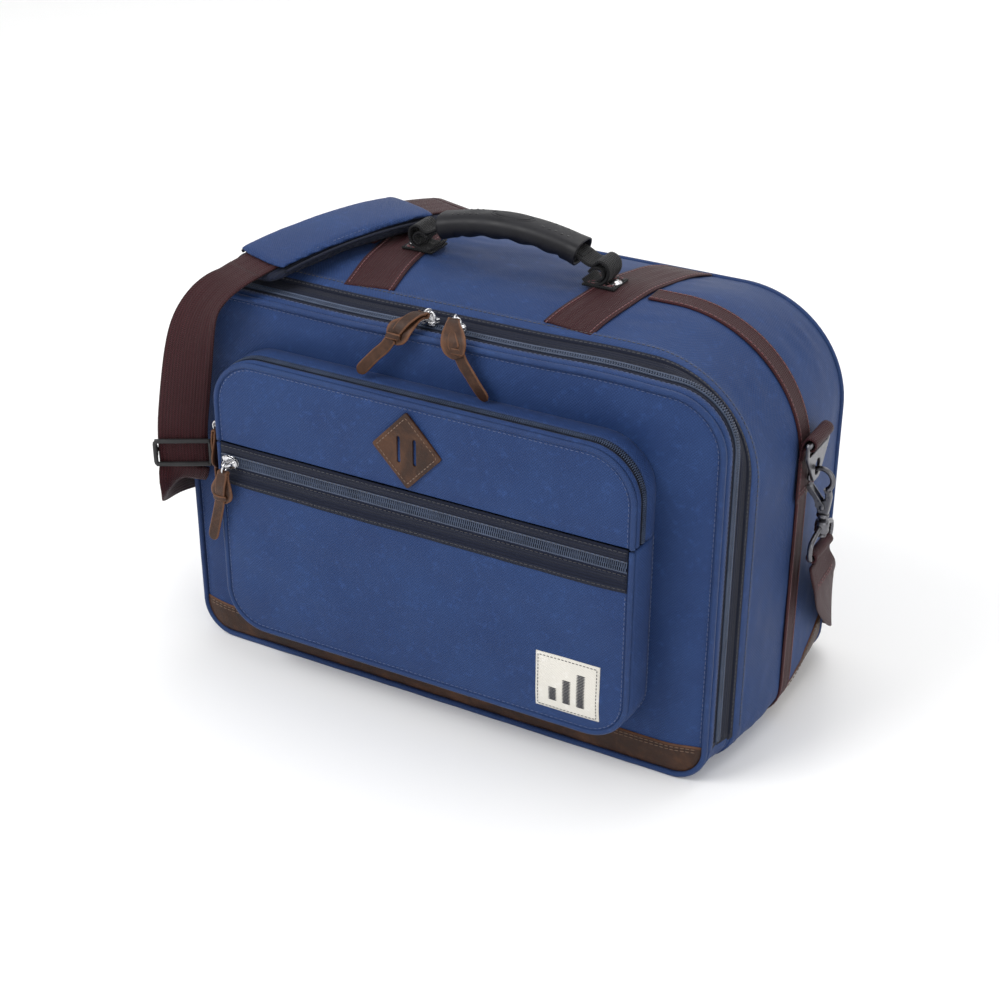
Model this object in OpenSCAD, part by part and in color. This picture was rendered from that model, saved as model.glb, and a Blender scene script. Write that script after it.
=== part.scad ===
// Soft flight bag: a padded barrel-shaped case whose whole front is a zipped door with a pocket on it.
// Units are millimetres. The bag stands on z = 0, its front faces -Y, and y = 0 is the girth band.

/* [Body] */
// Width of the case at the girth band
body_w = 468; // [460:1:476]
// Height of the case at the girth band
body_h = 317; // [314:1:320]
// Top corner radius at the girth band
body_top_r = 100; // [90:1:105]
// Bottom corner radius all along the case
base_r = 28; // [24:1:30]
// Distance from the girth band back to the rear seam
rear_seam = 88; // [84:1:92]
// How far the rounded back stands behind the rear seam
rear_bulge = 20; // [16:1:24]
// Thickness of the padded wall
wall = 4; // [3:0.5:5]

/* [Door] */
// Width of the door and of the zip line
door_w = 441; // [436:1:444]
// Height of the door
door_h = 303; // [300:1:305]
// Top corner radius of the door
door_top_r = 42; // [38:1:46]
// Distance from the girth band forward to the main zip
zip_line = 97; // [95:1:99]
// Distance from the main zip forward to the door face
door_depth = 15.5; // [15:0.5:17]

/* [Pocket] */
// Width of the front pocket
pocket_w = 343; // [330:1:350]
// Height of the pocket's lower edge
pocket_low = 38; // [36:1:44]
// Height of the pocket's upper edge
pocket_high = 266; // [262:1:270]
// How far the pocket stands out from the door
pocket_depth = 32; // [28:1:34]
// Height of the line that the pocket flap folds about
fold_z = 196.5; // [194:0.5:200]
// Height of the slash zip on the pocket face
slash_z = 183; // [180:0.5:184]

/* [Webbing] */
// Width of the two bands over the top
band_w = 40; // [36:1:44]
// Width of the girth band down the sides
girth_w = 20; // [16:1:24]
// Width of the shoulder strap
strap_w = 38; // [36:1:38]
// Thickness of the webbing
web_t = 1.4; // [1:0.1:1.6]

/* [Handle] */
// Radius of the grip's arch, at its middle line
grip_arch_r = 198; // [190:1:210]
// Height of the grip's middle line at its centre
grip_z = 348; // [347:0.5:352]
// Half of the angle that the grip spans
grip_half_angle = 17.3; // [15:0.1:18]

/* [Shoulder pad] */
// Radius of the pad's underside as it lies over the bag
pad_r = 450; // [440:1:460]
// Height of the pad's underside at its highest point
pad_z = 320.5; // [320:0.1:322]
// Width of the pad
pad_w = 60; // [54:1:62]

/* [Hidden] */
$fn = 40;
eps = 0.3;
top_steps = 9;
low_steps = 4;
flat_half = 190;
door_face = zip_line + door_depth;
hinge_z = 2.5;
piping_r = 2.2;
trim_t = 1.2;
tape_t = 1.4;
coil_r = 1.1;
coil_lift = 0.7;
binding_front = 84;
binding_rear = 70;
pocket_face = door_face + pocket_depth;
pocket_top_r = 38;
pocket_low_r = 33;
pocket_zip = 132;
rear_face = rear_seam + rear_bulge;
side_x = body_w / 2;
ring_x = side_x + 9.2;
ring_y = 3;
ring_z = 236;
hook_x = side_x + 13.7;
hook_z = 202.8;
shank_x = side_x + 17.5;
eye_z = 148;
pad_turn = 70;
pad_origin = [-130, 0, pad_z - pad_r];
pad_t = 9;
strap_t = 2;
strap_r = pad_r + pad_t + eps;

// Colours
blue = [0.10, 0.20, 0.45];
navy = [0.05, 0.08, 0.18];
maroon = [0.33, 0.08, 0.10];
brown = [0.30, 0.16, 0.09];
black = [0.08, 0.08, 0.09];
silver = [0.80, 0.80, 0.82];
gunmetal = [0.28, 0.29, 0.31];
cream = [0.88, 0.85, 0.76];

// --- outline of the case ---------------------------------------------------------------------
// Half width, height and top radius of the case's outline at depth y. It bulges at the girth band.
function ahead(y) = min(1, -y / zip_line);
function behind(y) = y / rear_seam;
function half_w(y) = y < 0 ? side_x - (side_x - door_w / 2) * pow(ahead(y),
    2) : side_x - 4 * pow(behind(y), 2);
function height(y) = y < 0 ? body_h - (body_h - door_h) * pow(ahead(y), 2) : body_h - 14 * pow(behind(y),
    2);
function top_r(y) = y < 0 ? body_top_r - (body_top_r - door_top_r) * pow(ahead(y), 4)
                          : body_top_r - 18 * pow(behind(y), 2);

function arc(cx, cz, r, a0, a1, n) =
    [for (i = [0:n]) let (a = a0 + (a1 - a0) * i / n) [cx + r * cos(a), cz + r * sin(a)]];
function flip(path) = [for (i = [len(path) - 1:-1:0]) [-path[i].x, path[i].y]];

// Pieces of the outline at depth y, inset by d, as [x, z] points from the right foot over the top.
function low_right(y, d) = arc(half_w(y) - base_r, base_r, base_r - d, -90, 0, low_steps);
function top_right(y, d, a0 = 0, a1 = 90, n = top_steps) =
    arc(half_w(y) - top_r(y), height(y) - top_r(y), top_r(y) - d, a0, a1, n);
function over(y, d, foot) = let (side = concat([[half_w(y) - d, foot]], top_right(y, d))) concat(side,
    flip(side));
function rows(ys, paths) = [for (i = [0:len(ys) - 1]) [for (p = paths[i]) [p.x, ys[i], p.y]]];

// --- solids from rows of points --------------------------------------------------------------
// Closed shell between two grids of points. (row direction) x (column direction) points outward.
module slab(outer, inner) {
    n = len(outer);
    m = len(outer[0]);
    q = n * m;
    function at(i, j) = i * m + j;
    skin = [for (i = [0:n - 2], j = [0:m - 2]) each [
        [at(i, j), at(i, j + 1), at(i + 1, j + 1)], [at(i, j), at(i + 1, j + 1), at(i + 1, j)],
        [q + at(i, j), q + at(i + 1, j + 1), q + at(i, j + 1)],
        [q + at(i, j), q + at(i + 1, j), q + at(i + 1, j + 1)]]];
    ends = [for (j = [0:m - 2]) each [
        [at(0, j + 1), at(0, j), q + at(0, j)], [at(0, j + 1), q + at(0, j), q + at(0, j + 1)],
        [at(n - 1, j), at(n - 1, j + 1), q + at(n - 1, j + 1)],
        [at(n - 1, j), q + at(n - 1, j + 1), q + at(n - 1, j)]]];
    sides = [for (i = [0:n - 2]) each [
        [at(i, 0), at(i + 1, 0), q + at(i + 1, 0)], [at(i, 0), q + at(i + 1, 0), q + at(i, 0)],
        [at(i + 1, m - 1), at(i, m - 1), q + at(i, m - 1)],
        [at(i + 1, m - 1), q + at(i, m - 1), q + at(i + 1, m - 1)]]];
    polyhedron(concat([for (r = outer) each r], [for (r = inner) each r]), concat(skin, ends, sides));
}

function unit(v) = v / norm(v);
function tangent(p, k) = unit(p[min(k + 1, len(p) - 1)] - p[max(k - 1, 0)]);
// Width direction of a ribbon at point k: square to the path and as near to want as it can be
function across(p, k, want) = let (t = tangent(p, k)) unit(want - t * (want * t));

// Flat ribbon of webbing or leather through points p. wants holds each point's width direction.
module ribbon(p, wants, widths, t) {
    function edge(k, side, face) = let (w = across(p, k, wants[k]))
        p[k] + w * side * widths[k] / 2 + cross(tangent(p, k), w) * face * t / 2;
    slab([for (k = [0:len(p) - 1]) [edge(k, -1, 1), edge(k, 1, 1)]],
         [for (k = [0:len(p) - 1]) [edge(k, -1, -1), edge(k, 1, -1)]]);
}

module rod(a, b, r) {
    v = b - a;
    translate(a) rotate([0, acos(v.z / norm(v)), atan2(v.y, v.x)]) cylinder(r = r, h = norm(v));
}

// Upright plate in the XZ plane whose front is at y = -front
module upright(front, t) {
    translate([0, -front + t, 0]) rotate([90, 0, 0]) linear_extrude(t) children();
}

// Rectangle from low to high, w wide, with round top and bottom corners
module rounded(w, low, high, top, bottom) {
    translate([-w / 2 + bottom, low]) square([w - 2 * bottom, bottom]);
    translate([-w / 2, low + bottom]) square([w, high - low - top - bottom]);
    translate([-w / 2 + top, high - top]) square([w - 2 * top, top]);
    for (s = [-1, 1]) {
        translate([s * (w / 2 - top), high - top]) circle(top);
        translate([s * (w / 2 - bottom), low + bottom]) circle(bottom);
    }
}

// Cord that follows an arch: up both sides from foot and over the top
module arch_cord(half, high, r_corner, foot, y, r) {
    for (s = [0, 1]) mirror([s, 0, 0]) {
        translate([half, y, foot]) cylinder(r = r, h = high - r_corner - foot);
        translate([half - r_corner, y, high - r_corner]) rotate([90, 0, 0])
            rotate_extrude(angle = 90) translate([r_corner, 0]) circle(r);
    }
    translate([-half + r_corner, y, high]) rotate([0, 90, 0]) cylinder(r = r, h = 2 * (half - r_corner));
}

// --- case ------------------------------------------------------------------------------------
module base_panel() {
    color(blue) translate([-flat_half, -door_face + piping_r + eps, 0])
        cube([2 * flat_half, door_face - piping_r - eps + rear_seam, wall]);
}

module base_board() {
    color(black) translate([-flat_half + 4, -binding_front, wall])
        cube([2 * (flat_half - 4), binding_front + rear_seam - 6, 2.4]);
}

function foot_path(y, d) = concat([[flat_half, d]], low_right(y, d));
function side_path(y, d) = concat(foot_path(y, d), top_right(y, d, 0, 50, 5));
function crown_path(y, d) = let (half = top_right(y, d, 50, 90, 4)) concat(half, flip(half));
case_rows = [-binding_front, -70, -52, -34, -17, 0, 17, 34, 52, 70, rear_seam];
corner_rows = [-door_face + piping_r + eps, -binding_front];

// Corners below the ends of the main zip
module front_corners() {
    color(blue) for (s = [0, 1]) mirror([s, 0, 0])
        slab(rows(corner_rows, [for (y = corner_rows) foot_path(y, 0)]),
             rows(corner_rows, [for (y = corner_rows) foot_path(y, wall)]));
}

module gusset_right() {
    color(blue) slab(rows(case_rows, [for (y = case_rows) side_path(y, 0)]),
                     rows(case_rows, [for (y = case_rows) side_path(y, wall)]));
}
module gusset_left() { mirror([1, 0, 0]) gusset_right(); }

module gusset_top() {
    color(blue) slab(rows(case_rows, [for (y = case_rows) crown_path(y, 0)]),
                     rows(case_rows, [for (y = case_rows) crown_path(y, wall)]));
}

// Thin slice of the rear outline, inset by d, from z = lift upward
module rear_slice(y, d) {
    translate([0, y, 0]) rotate([90, 0, 0]) linear_extrude(0.1) polygon(concat(
        foot_path(rear_seam, d), top_right(rear_seam, d), flip(top_right(rear_seam, d)),
            flip(foot_path(rear_seam, d))));
}
module rear_dome(d) {
    hull() {
        rear_slice(rear_seam + 0.1, d);
        rear_slice(rear_seam + rear_bulge * 0.45 - d / 2, d + 3);
        rear_slice(rear_seam + rear_bulge * 0.8 - d, d + 10);
        rear_slice(rear_face - d, d + 20);
    }
}
module rear_panel() {
    color(blue) difference() {
        rear_dome(0);
        translate([0, -0.1, 0]) rear_dome(wall);
    }
}

// Leather wrapped round both rear bottom corners, higher towards the back
function trim_top(y) = 15 + 30 * (y - girth_w / 2) / (rear_seam - girth_w / 2);
function boot_path(y, d) = [for (k = [0:6]) let (z = 4 + (trim_top(y) - 4) * k / 6)
    [half_w(y) - base_r + (z < base_r ? sqrt(pow(base_r - d, 2) - pow(base_r - z, 2)) : base_r - d), z]];
boot_rows = [12, 31, 50, 69, rear_seam];
module rear_leather_trim() {
    color(brown) for (s = [0, 1]) mirror([s, 0, 0])
        slab(rows(boot_rows, [for (y = boot_rows) boot_path(y, -trim_t - 0.2)]),
             rows(boot_rows, [for (y = boot_rows) boot_path(y, -0.4)]));
}

// --- main zip, body side ---------------------------------------------------------------------
zip_foot = base_r + 2;
module zip_ring(y0, y1, t_in, t_out, tone) {
    ys = [-y0, -y1];
    color(tone) slab(rows(ys, [for (y = ys) over(y, -t_out, zip_foot)]), rows(ys, [for (y = ys) over(y,
        t_in, zip_foot)]));
}
module zip_binding() { zip_ring(binding_front, binding_rear, 0, trim_t, navy); }
module body_zip_tape() { zip_ring(zip_line - eps, binding_front, tape_t, 0, navy); }
module body_zip_coil() {
    r = coil_r + coil_lift;
    color(gunmetal) arch_cord(door_w / 2 + r, door_h + r, door_top_r + r, zip_foot,
        -zip_line + coil_r + 0.1, coil_r);
}

// --- webbing on the case ---------------------------------------------------------------------
// Inner edge of a top band: it runs outward a little towards the rear
function band_x(y) = 71 + 0.145 * y;
module top_webbing() {
    ys = [for (y = case_rows) if (y >= -binding_rear) y];
    function band(y, z) = [[band_x(y) + band_w, z], [band_x(y), z]];
    color(maroon) for (s = [0, 1]) mirror([s, 0, 0])
        slab(rows(ys, [for (y = ys) band(y, height(y) + web_t)]), rows(ys, [for (y = ys) band(y,
            height(y))]));
}

module girth_webbing_right() {
    ys = [-girth_w / 2, 0, girth_w / 2];
    function run(y, d) = concat(arc(half_w(y) - base_r, base_r, base_r - d, -58, 0, low_steps),
        top_right(y, d), [[band_x(0) + band_w + 2.2, height(y) - d]]);
    color(maroon) slab(rows(ys, [for (y = ys) run(y, -web_t)]), rows(ys, [for (y = ys) run(y, 0)]));
}
module girth_webbing_left() { mirror([1, 0, 0]) girth_webbing_right(); }

// Folded tab that holds a strap ring, sewn over the girth band
module ring_tab_right() {
    color(maroon) translate([0, ring_y + 18, 0]) rotate([90, 0, 0]) linear_extrude(36)
        difference() {
            union() {
                translate([ring_x, ring_z]) circle(5.6);
                translate([side_x + web_t + 0.1, 187]) square([1.4, ring_z + 4 - 187]);
                translate([side_x + web_t + 0.1, ring_z + 1.4]) square([ring_x - side_x - web_t, 4.2]);
            }
            translate([ring_x, ring_z]) circle(2.9);
        }
}
module ring_tab_left() { mirror([1, 0, 0]) ring_tab_right(); }

module handle_anchors() {
    color(black) for (s = [0, 1]) mirror([s, 0, 0])
        translate([band_x(0) - 9, -12.5, body_h + web_t]) cube([26, 25, 1.6]);
}
module anchor_rivets() {
    color(silver) for (s = [-1, 1]) translate([s * (band_x(0) + 12), 0, body_h + web_t + 1.6]) {
        cylinder(r = 3.6, h = 0.8);
        cylinder(r = 2.2, h = 1.4);
    }
}

// --- door ------------------------------------------------------------------------------------
module door_panel() {
    edge = 2 * piping_r + 0.1;
    color(blue) upright(door_face, 3.5)
        rounded(door_w - 2 * edge, hinge_z - piping_r + edge, door_h - edge, door_top_r - edge,
            base_r - edge);
}
module door_ring(y0, y1, t, tone) {
    ys = [-y0, -y1];
    color(tone) slab(rows(ys, [for (y = ys) over(y, 0, zip_foot + 1)]), rows(ys, [for (y = ys) over(y, t,
        zip_foot + 1)]));
}
module door_gusset() { door_ring(door_face - piping_r - 0.1, 104, 3, blue); }
module door_zip_tape() { door_ring(104, zip_line + eps, tape_t, navy); }
module door_zip_coil() {
    color(gunmetal) arch_cord(door_w / 2 + coil_r, door_h + coil_r, door_top_r + coil_r, zip_foot + 1,
        -zip_line - coil_r - 0.1, coil_r);
}
module door_piping() {
    r = piping_r;
    low = hinge_z;
    half = door_w / 2 - r;
    color(blue) {
        arch_cord(half, door_h - r, door_top_r - r, base_r, -door_face, r);
        for (s = [0, 1]) mirror([s, 0, 0]) translate([half - base_r + low, -door_face, base_r])
            rotate([90, 0, 0]) rotate([0, 0, -90]) rotate_extrude(angle = 90) translate([base_r - low,
                0]) circle(r);
        translate([-half + base_r - low, -door_face, low]) rotate([0, 90, 0])
            cylinder(r = r, h = 2 * (half - base_r + low));
    }
}
module door_leather_trim() {
    edge = 2 * piping_r + 0.2;
    color(brown) upright(door_face + trim_t, trim_t) intersection() {
        rounded(door_w - 2 * edge, hinge_z - piping_r + edge, door_h - edge, door_top_r - edge,
            base_r - edge);
        translate([-door_w / 2, 0]) square([door_w, 29]);
    }
}

// --- pocket ----------------------------------------------------------------------------------
half_pocket = pocket_w / 2;
fold_gap = 1;
function pocket_cap(y, d) = let (side = concat([[half_pocket - d, fold_z - fold_gap]],
    arc(half_pocket - pocket_top_r, pocket_high - pocket_top_r, pocket_top_r - d, 0, 90, top_steps)))
    concat(side, flip(side));
function flap_cap(y, d) = let (side = concat([[half_pocket - d, fold_z + fold_gap]],
    arc(half_pocket - pocket_top_r, pocket_high - pocket_top_r, pocket_top_r - d, 0, 90, top_steps)))
    concat(side, flip(side));
function pocket_bowl(y, d) = let (side = concat(
    arc(half_pocket - pocket_low_r, pocket_low + pocket_low_r, pocket_low_r - d, -90, 0, 6),
    [[half_pocket - d, fold_z - fold_gap]])) concat(flip(side), side);
gusset_front = pocket_face - 2.8;

module pocket_gusset_lower() {
    ys = [-gusset_front, -door_face];
    color(blue) slab(rows(ys, [for (y = ys) pocket_bowl(y, 0)]), rows(ys, [for (y = ys) pocket_bowl(y,
        3)]));
}
module pocket_gusset_upper() {
    ys = [-pocket_zip + eps, -door_face];
    color(blue) slab(rows(ys, [for (y = ys) pocket_cap(y, 0)]), rows(ys, [for (y = ys) pocket_cap(y,
        2.5)]));
}
module pocket_front() {
    edge = 4.2;
    color(blue) upright(pocket_face, 3) difference() {
        rounded(pocket_w - 2 * edge, pocket_low + edge, pocket_high - edge, pocket_top_r - edge,
            pocket_low_r - edge);
        translate([-half_pocket, fold_z - 2]) square([pocket_w, pocket_high]);
        translate([-half_pocket + edge + 4, slash_z - 1.3]) square([pocket_w - 2 * edge - 8, 2.6]);
    }
}
module pocket_piping_lower() {
    r = 2;
    half = half_pocket - r;
    c = pocket_low_r - r;
    color(blue) translate([0, -pocket_face + 0.7, 0]) {
        for (s = [0, 1]) mirror([s, 0, 0]) {
            translate([half, 0, pocket_low + pocket_low_r]) cylinder(r = r,
                h = fold_z - 2.5 - pocket_low - pocket_low_r);
            translate([half - c, 0, pocket_low + pocket_low_r]) rotate([90, 0, 0]) rotate([0, 0, -90])
                rotate_extrude(angle = 90) translate([c, 0]) circle(r);
        }
        translate([-half + c, 0, pocket_low + r]) rotate([0, 90, 0]) cylinder(r = r, h = 2 * (half - c));
    }
}
slash_half = half_pocket - 4.4;
module slash_zip_tape() {
    color(navy) {
        translate([-slash_half, -pocket_face - 1, slash_z - 20]) cube([2 * slash_half, 1, 17.8]);
        translate([-slash_half, -pocket_face - 1, slash_z + 2.2]) cube([2 * slash_half, 1,
            fold_z - slash_z - 2.7]);
    }
}
module slash_zip_coil() {
    color(gunmetal) for (s = [-1, 1]) translate([-slash_half, -pocket_face - 1.1, slash_z + s * 1.1])
        rotate([0, 90, 0]) cylinder(r = 1, h = 2 * slash_half);
}
module label_patch() {
    color(cream) translate([100, -pocket_face - 1, 52]) cube([50, 1, 46]);
}

// --- pocket flap -----------------------------------------------------------------------------
module flap_panel() {
    edge = 4.2;
    color(blue) upright(pocket_face, 3) intersection() {
        rounded(pocket_w - 2 * edge, pocket_low + edge, pocket_high - edge, pocket_top_r - edge,
            pocket_low_r - edge);
        translate([-half_pocket, fold_z + fold_gap]) square([pocket_w, pocket_high]);
    }
}
module flap_gusset() {
    ys = [-gusset_front, -pocket_zip - eps];
    color(blue) slab(rows(ys, [for (y = ys) flap_cap(y, 0)]), rows(ys, [for (y = ys) flap_cap(y, 2.5)]));
}
module flap_piping() {
    r = 2;
    color(blue) arch_cord(half_pocket - r, pocket_high - r, pocket_top_r - r, fold_z + 1.2,
        -pocket_face + 0.7, r);
}
module diamond_patch() {
    color(brown) upright(pocket_face + 1.3, 1.3) translate([-4, 229.5]) difference() {
        polygon([[28.5, 0], [0, 30], [-28.5, 0], [0, -30]]);
        for (x = [-6.5, 6.5]) translate([x - 1.4, -10]) square([2.8, 20]);
    }
}

// --- zip sliders and leather pulls -----------------------------------------------------------
// Slider in its own frame: the zip runs along X, the fabric's outside is +Z and z = 0 is the coil's top
module slider_shape() {
    translate([0, 0, 0.2]) linear_extrude(2.8) {
        translate([-6, -4]) square([10, 8]);
        translate([3, 0]) circle(4.6);
    }
    for (s = [-1, 1]) translate([s * 2.6 - 0.9, -1, 2.9]) cube([1.8, 2, 5.4]);
    translate([-2.6, 0, slider_bar]) rotate([0, 90, 0]) cylinder(r = 0.9, h = 5.2);
}
slider_bar = 7.5;
coil_top = door_h + 2 * coil_r + coil_lift;
slash_front = pocket_face + 2.1;
pocket_side = half_pocket + 1.1;
main_left = [-13, -zip_line, coil_top];
main_right = [8, -zip_line, coil_top];
slash_home = [-158, -slash_front, slash_z];
pocket_home = [-pocket_side, -pocket_zip, 203];

module main_slider_left() { color(silver) translate(main_left) slider_shape(); }
module main_slider_right() { color(silver) translate(main_right) slider_shape(); }
module slash_slider() { color(silver) translate(slash_home) rotate([90, 0, 0]) slider_shape(); }
module pocket_slider() {
    color(silver) translate(pocket_home) rotate([0, -90, 0]) rotate([0, 0, 90]) slider_cross();
}
// Slider whose bar runs across the zip, for a pull that hangs along it
module slider_cross() {
    translate([0, 0, 0.2]) linear_extrude(2.8) {
        translate([-4, -6]) square([8, 10]);
        translate([0, 3]) circle(4.6);
    }
    for (s = [-1, 1]) translate([s * 2.6 - 0.9, -1, 2.9]) cube([1.8, 2, 5.4]);
    translate([-2.6, 0, slider_bar]) rotate([0, 90, 0]) cylinder(r = 0.9, h = 5.2);
}

// Ring of a pull, in the plane square to the bar that it hangs on
module pull_ring() { rotate_extrude() translate([3.4, 0]) circle(0.8); }
pull_widths = [7, 15, 19, 18, 12, 9.5, 9.5];
ring_reach = 1.4;
main_bar = coil_top + slider_bar;

// Leather strip draped over the door's top edge and down to the pocket
module draped_leather(x0, dx, ends_y, end_z) {
    steps = [[0.02, -105.6, main_bar + 0.4], [0.12, -112, main_bar + 0.2], [0.26, -118.5, main_bar - 5],
             [0.4, -121.5, main_bar - 14], [0.52, -123, main_bar - 21], [0.64, -123.5, main_bar - 26],
             [1, ends_y, end_z]];
    p = [for (s = steps) [x0 + dx * s[0], s[1], s[2]]];
    ribbon(p, [for (s = steps) [1, 0, 0]], pull_widths, 3);
}
module main_pull_left() {
    color(silver) translate([main_left.x, main_left.y - ring_reach, main_bar]) rotate([0, 90,
        0]) pull_ring();
    color(brown) draped_leather(main_left.x, -42, -127.5, 271);
}
module main_pull_right() {
    color(silver) translate([main_right.x, main_right.y - ring_reach, main_bar]) rotate([0, 90,
        0]) pull_ring();
    color(brown) draped_leather(main_right.x, 38, -122, 269);
}
module slash_pull() {
    bar_y = -slash_front - slider_bar;
    drop = [8, 16, 25, 35, 43, 48, 70];
    color(silver) translate([slash_home.x, bar_y, slash_z - ring_reach]) rotate([0, 90, 0]) pull_ring();
    p = [for (i = [0:6]) [slash_home.x - drop[i] * 0.28, min(bar_y + drop[i] * 0.14, -pocket_face - 3.2),
                          slash_z - drop[i]]];
    color(brown) ribbon(p, [for (i = p) [1, 0, 0]], pull_widths, 3);
}
module pocket_pull() {
    bar_x = -pocket_side - slider_bar;
    drop = [8, 16, 25, 35, 43, 48, 74];
    color(silver) translate([bar_x, pocket_home.y, pocket_home.z - ring_reach]) rotate([90, 0,
        0]) pull_ring();
    p = [for (d = drop) [bar_x - 0.5, pocket_home.y + d * 0.02, pocket_home.z - d]];
    color(brown) ribbon(p, [for (i = p) [0, 1, 0]], pull_widths, 3);
}

// --- handle ----------------------------------------------------------------------------------
module grip_arc(half_angle) {
    translate([0, 0, grip_z - grip_arch_r]) rotate([90, 0, 0]) rotate([0, 0, 90 - half_angle])
        rotate_extrude(angle = 2 * half_angle, $fn = 120) translate([grip_arch_r, 0]) children();
}
module handle_grip() {
    color(black) grip_arc(grip_half_angle) difference() {
        union() {
            translate([-9.5, -4]) square([19, 8]);
            for (s = [-1, 1]) translate([0, s * 4]) circle(9.5);
        }
        translate([-1.8, -13.2 + 1.2]) square([3.6, 24]);
    }
}
module handle_core() {
    color(black) grip_arc(grip_half_angle + 1) translate([-1.3, -11.5]) square([2.6, 23]);
}
// Webbing loops at both ends of the grip, sewn down to the anchors
module handle_loops() {
    end_x = grip_arch_r * sin(grip_half_angle + 1) + 0.3;
    color(black) for (s = [0, 1]) mirror([s, 0, 0]) translate([0, 11.5, 0]) rotate([90, 0,
        0]) linear_extrude(23)
        difference() {
            union() {
                translate([end_x + 9.5, 330.6]) circle(9.5);
                translate([end_x, 335]) square([9.5, 3.2]);
            }
            translate([end_x + 9.5, 330.6]) circle(7);
        }
}

// --- strap hardware --------------------------------------------------------------------------
// The right ring, hook and gate are drawn about the plane y = 0 and set at y = ring_y.
ring_low = 202.5;
module ring_right() {
    slot_low = ring_z - 9;
    oval = [210.8, 214.4];
    color(gunmetal) translate([0, ring_y, 0]) {
        translate([ring_x - 1.2, 0, 0]) rotate([90, 0, 90]) linear_extrude(2.4) difference() {
            polygon([[-22, ring_z + 1], [-22, slot_low], [-8, ring_low + 3], [-5, ring_low], [5, ring_low],
                     [8, ring_low + 3], [22, slot_low], [22, ring_z + 1]]);
            translate([-19, slot_low]) square([38, ring_z + 2 - slot_low]);
            translate([-4.6, oval[0]]) square([9.2, oval[1] - oval[0]]);
            for (z = oval) translate([0, z]) circle(4.6);
        }
        translate([ring_x, 22, ring_z]) rotate([90, 0, 0]) cylinder(r = 2.2, h = 44);
    }
}
module ring_left() { mirror([1, 0, 0]) ring_right(); }

// Cast hook: a curl that passes through the ring's hole, a flat body and a swivel shank below it
gate_pin = [side_x + 17, 182];
module snap_hook_right() {
    color(gunmetal) translate([0, ring_y, 0]) {
        translate([hook_x, 0, hook_z]) rotate([90, 0, 0]) rotate([0, 0, -50])
            rotate_extrude(angle = 252) translate([8.8, 0]) circle(1.7);
        translate([0, 2.2, 0]) rotate([90, 0, 0]) linear_extrude(4.4) difference() {
            polygon([[hook_x + 3.4, hook_z - 7], [hook_x + 8.5, hook_z - 6.5], [hook_x + 9, 186],
                [shank_x + 4, 177],
                     [shank_x - 3.5, 177], [gate_pin.x - 3.6, 183.4], [gate_pin.x + 3, 187.5]]);
            translate(gate_pin) circle(1.35);
        }
        translate([shank_x, 0, 160]) cylinder(r = 2.4, h = 17.2);
        translate([shank_x, 0, 158.6]) cylinder(r = 4, h = 1.5);
    }
}
module snap_hook_left() { mirror([1, 0, 0]) snap_hook_right(); }

// Sprung gate that closes the curl: two cheeks on a pin through the hook, joined by a nose
module gate_right() {
    tip = [hook_x - 8.6, hook_z - 5.2];
    nose = [tip + [-0.6, -1], tip + [1.8, 0.2], tip + [5.2, -6.4], tip + [2.4, -7.2]];
    cheek = [tip + [-0.6, -1], tip + [1.8, 0.2], gate_pin + [1, 2.4], gate_pin + [0.5, -2.2],
        gate_pin + [-2.5, -1]];
    color(gunmetal) translate([0, ring_y, 0]) {
        translate([gate_pin.x, 3.4, gate_pin.y]) rotate([90, 0, 0]) cylinder(r = 1.3, h = 6.8);
        for (face = [3.35, -2.35]) translate([0, face, 0]) rotate([90, 0,
            0]) linear_extrude(1) polygon(cheek);
        translate([0, 2.35, 0]) rotate([90, 0, 0]) linear_extrude(4.7) polygon(nose);
    }
}
module gate_left() { mirror([1, 0, 0]) gate_right(); }

// Rectangular strap eyes that the hooks' shanks turn in
module strap_eyes() {
    foot = 21.5;
    color(gunmetal) for (s = [0, 1]) mirror([s, 0, 0]) translate([shank_x, ring_y, 0]) {
        difference() {
            translate([0, 0, 161]) cylinder(r = 5, h = 10);
            translate([0, 0, 160]) cylinder(r = 2.45, h = 12);
        }
        for (t = [-1, 1]) {
            rod([0, t * 4.2, 166], [0, t * foot, 160], 2);
            rod([0, t * foot, 160], [0, t * foot, eye_z], 2);
            for (z = [160, eye_z]) translate([0, t * foot, z]) sphere(2);
        }
        rod([0, -foot, eye_z], [0, foot, eye_z], 2);
    }
}

// Strap adjuster: two front bars, a back bar and side plates round the strap
glide_at = [-212, -134, 173];
glide_turn = 30;
module tri_glide() {
    color(black) translate(glide_at) rotate([0, 0, glide_turn]) {
        for (s = [-1, 1]) translate([s * (strap_w / 2 + 1.9) - 1.3, -4.8, -11.5]) cube([2.6, 9.4, 23]);
        for (z = [-9.7, 9.7]) translate([-strap_w / 2 - 2, -3.2, z]) rotate([0, 90, 0]) cylinder(r = 1.8,
            h = strap_w + 4);
        translate([-strap_w / 2 - 2, 3, 0]) rotate([0, 90, 0]) cylinder(r = 1.6, h = strap_w + 4);
    }
}

// --- shoulder pad and strap ------------------------------------------------------------------
// Turned section laid along the pad, from angle a0 to a1, where 0 is the highest point
module pad_arc(a0, a1) {
    translate(pad_origin) rotate([0, 0, pad_turn]) rotate([90, 0, 0]) rotate([0, 0, 90 - a1])
        rotate_extrude(angle = a1 - a0, $fn = 240) children();
}
module pad_base() {
    color(navy) pad_arc(-13.6, 9.4) translate([pad_r, -pad_w / 2]) square([pad_t, pad_w]);
}
module pad_cover() {
    rim = strap_w / 2 + 1;
    color(blue) pad_arc(-12.1, 6.4) difference() {
        translate([pad_r + pad_t + 0.05, -pad_w / 2 + 2]) square([eps + strap_t + eps + 3, pad_w - 4]);
        translate([pad_r + pad_t, -rim]) square([2 * eps + strap_t, 2 * rim]);
    }
}

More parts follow.
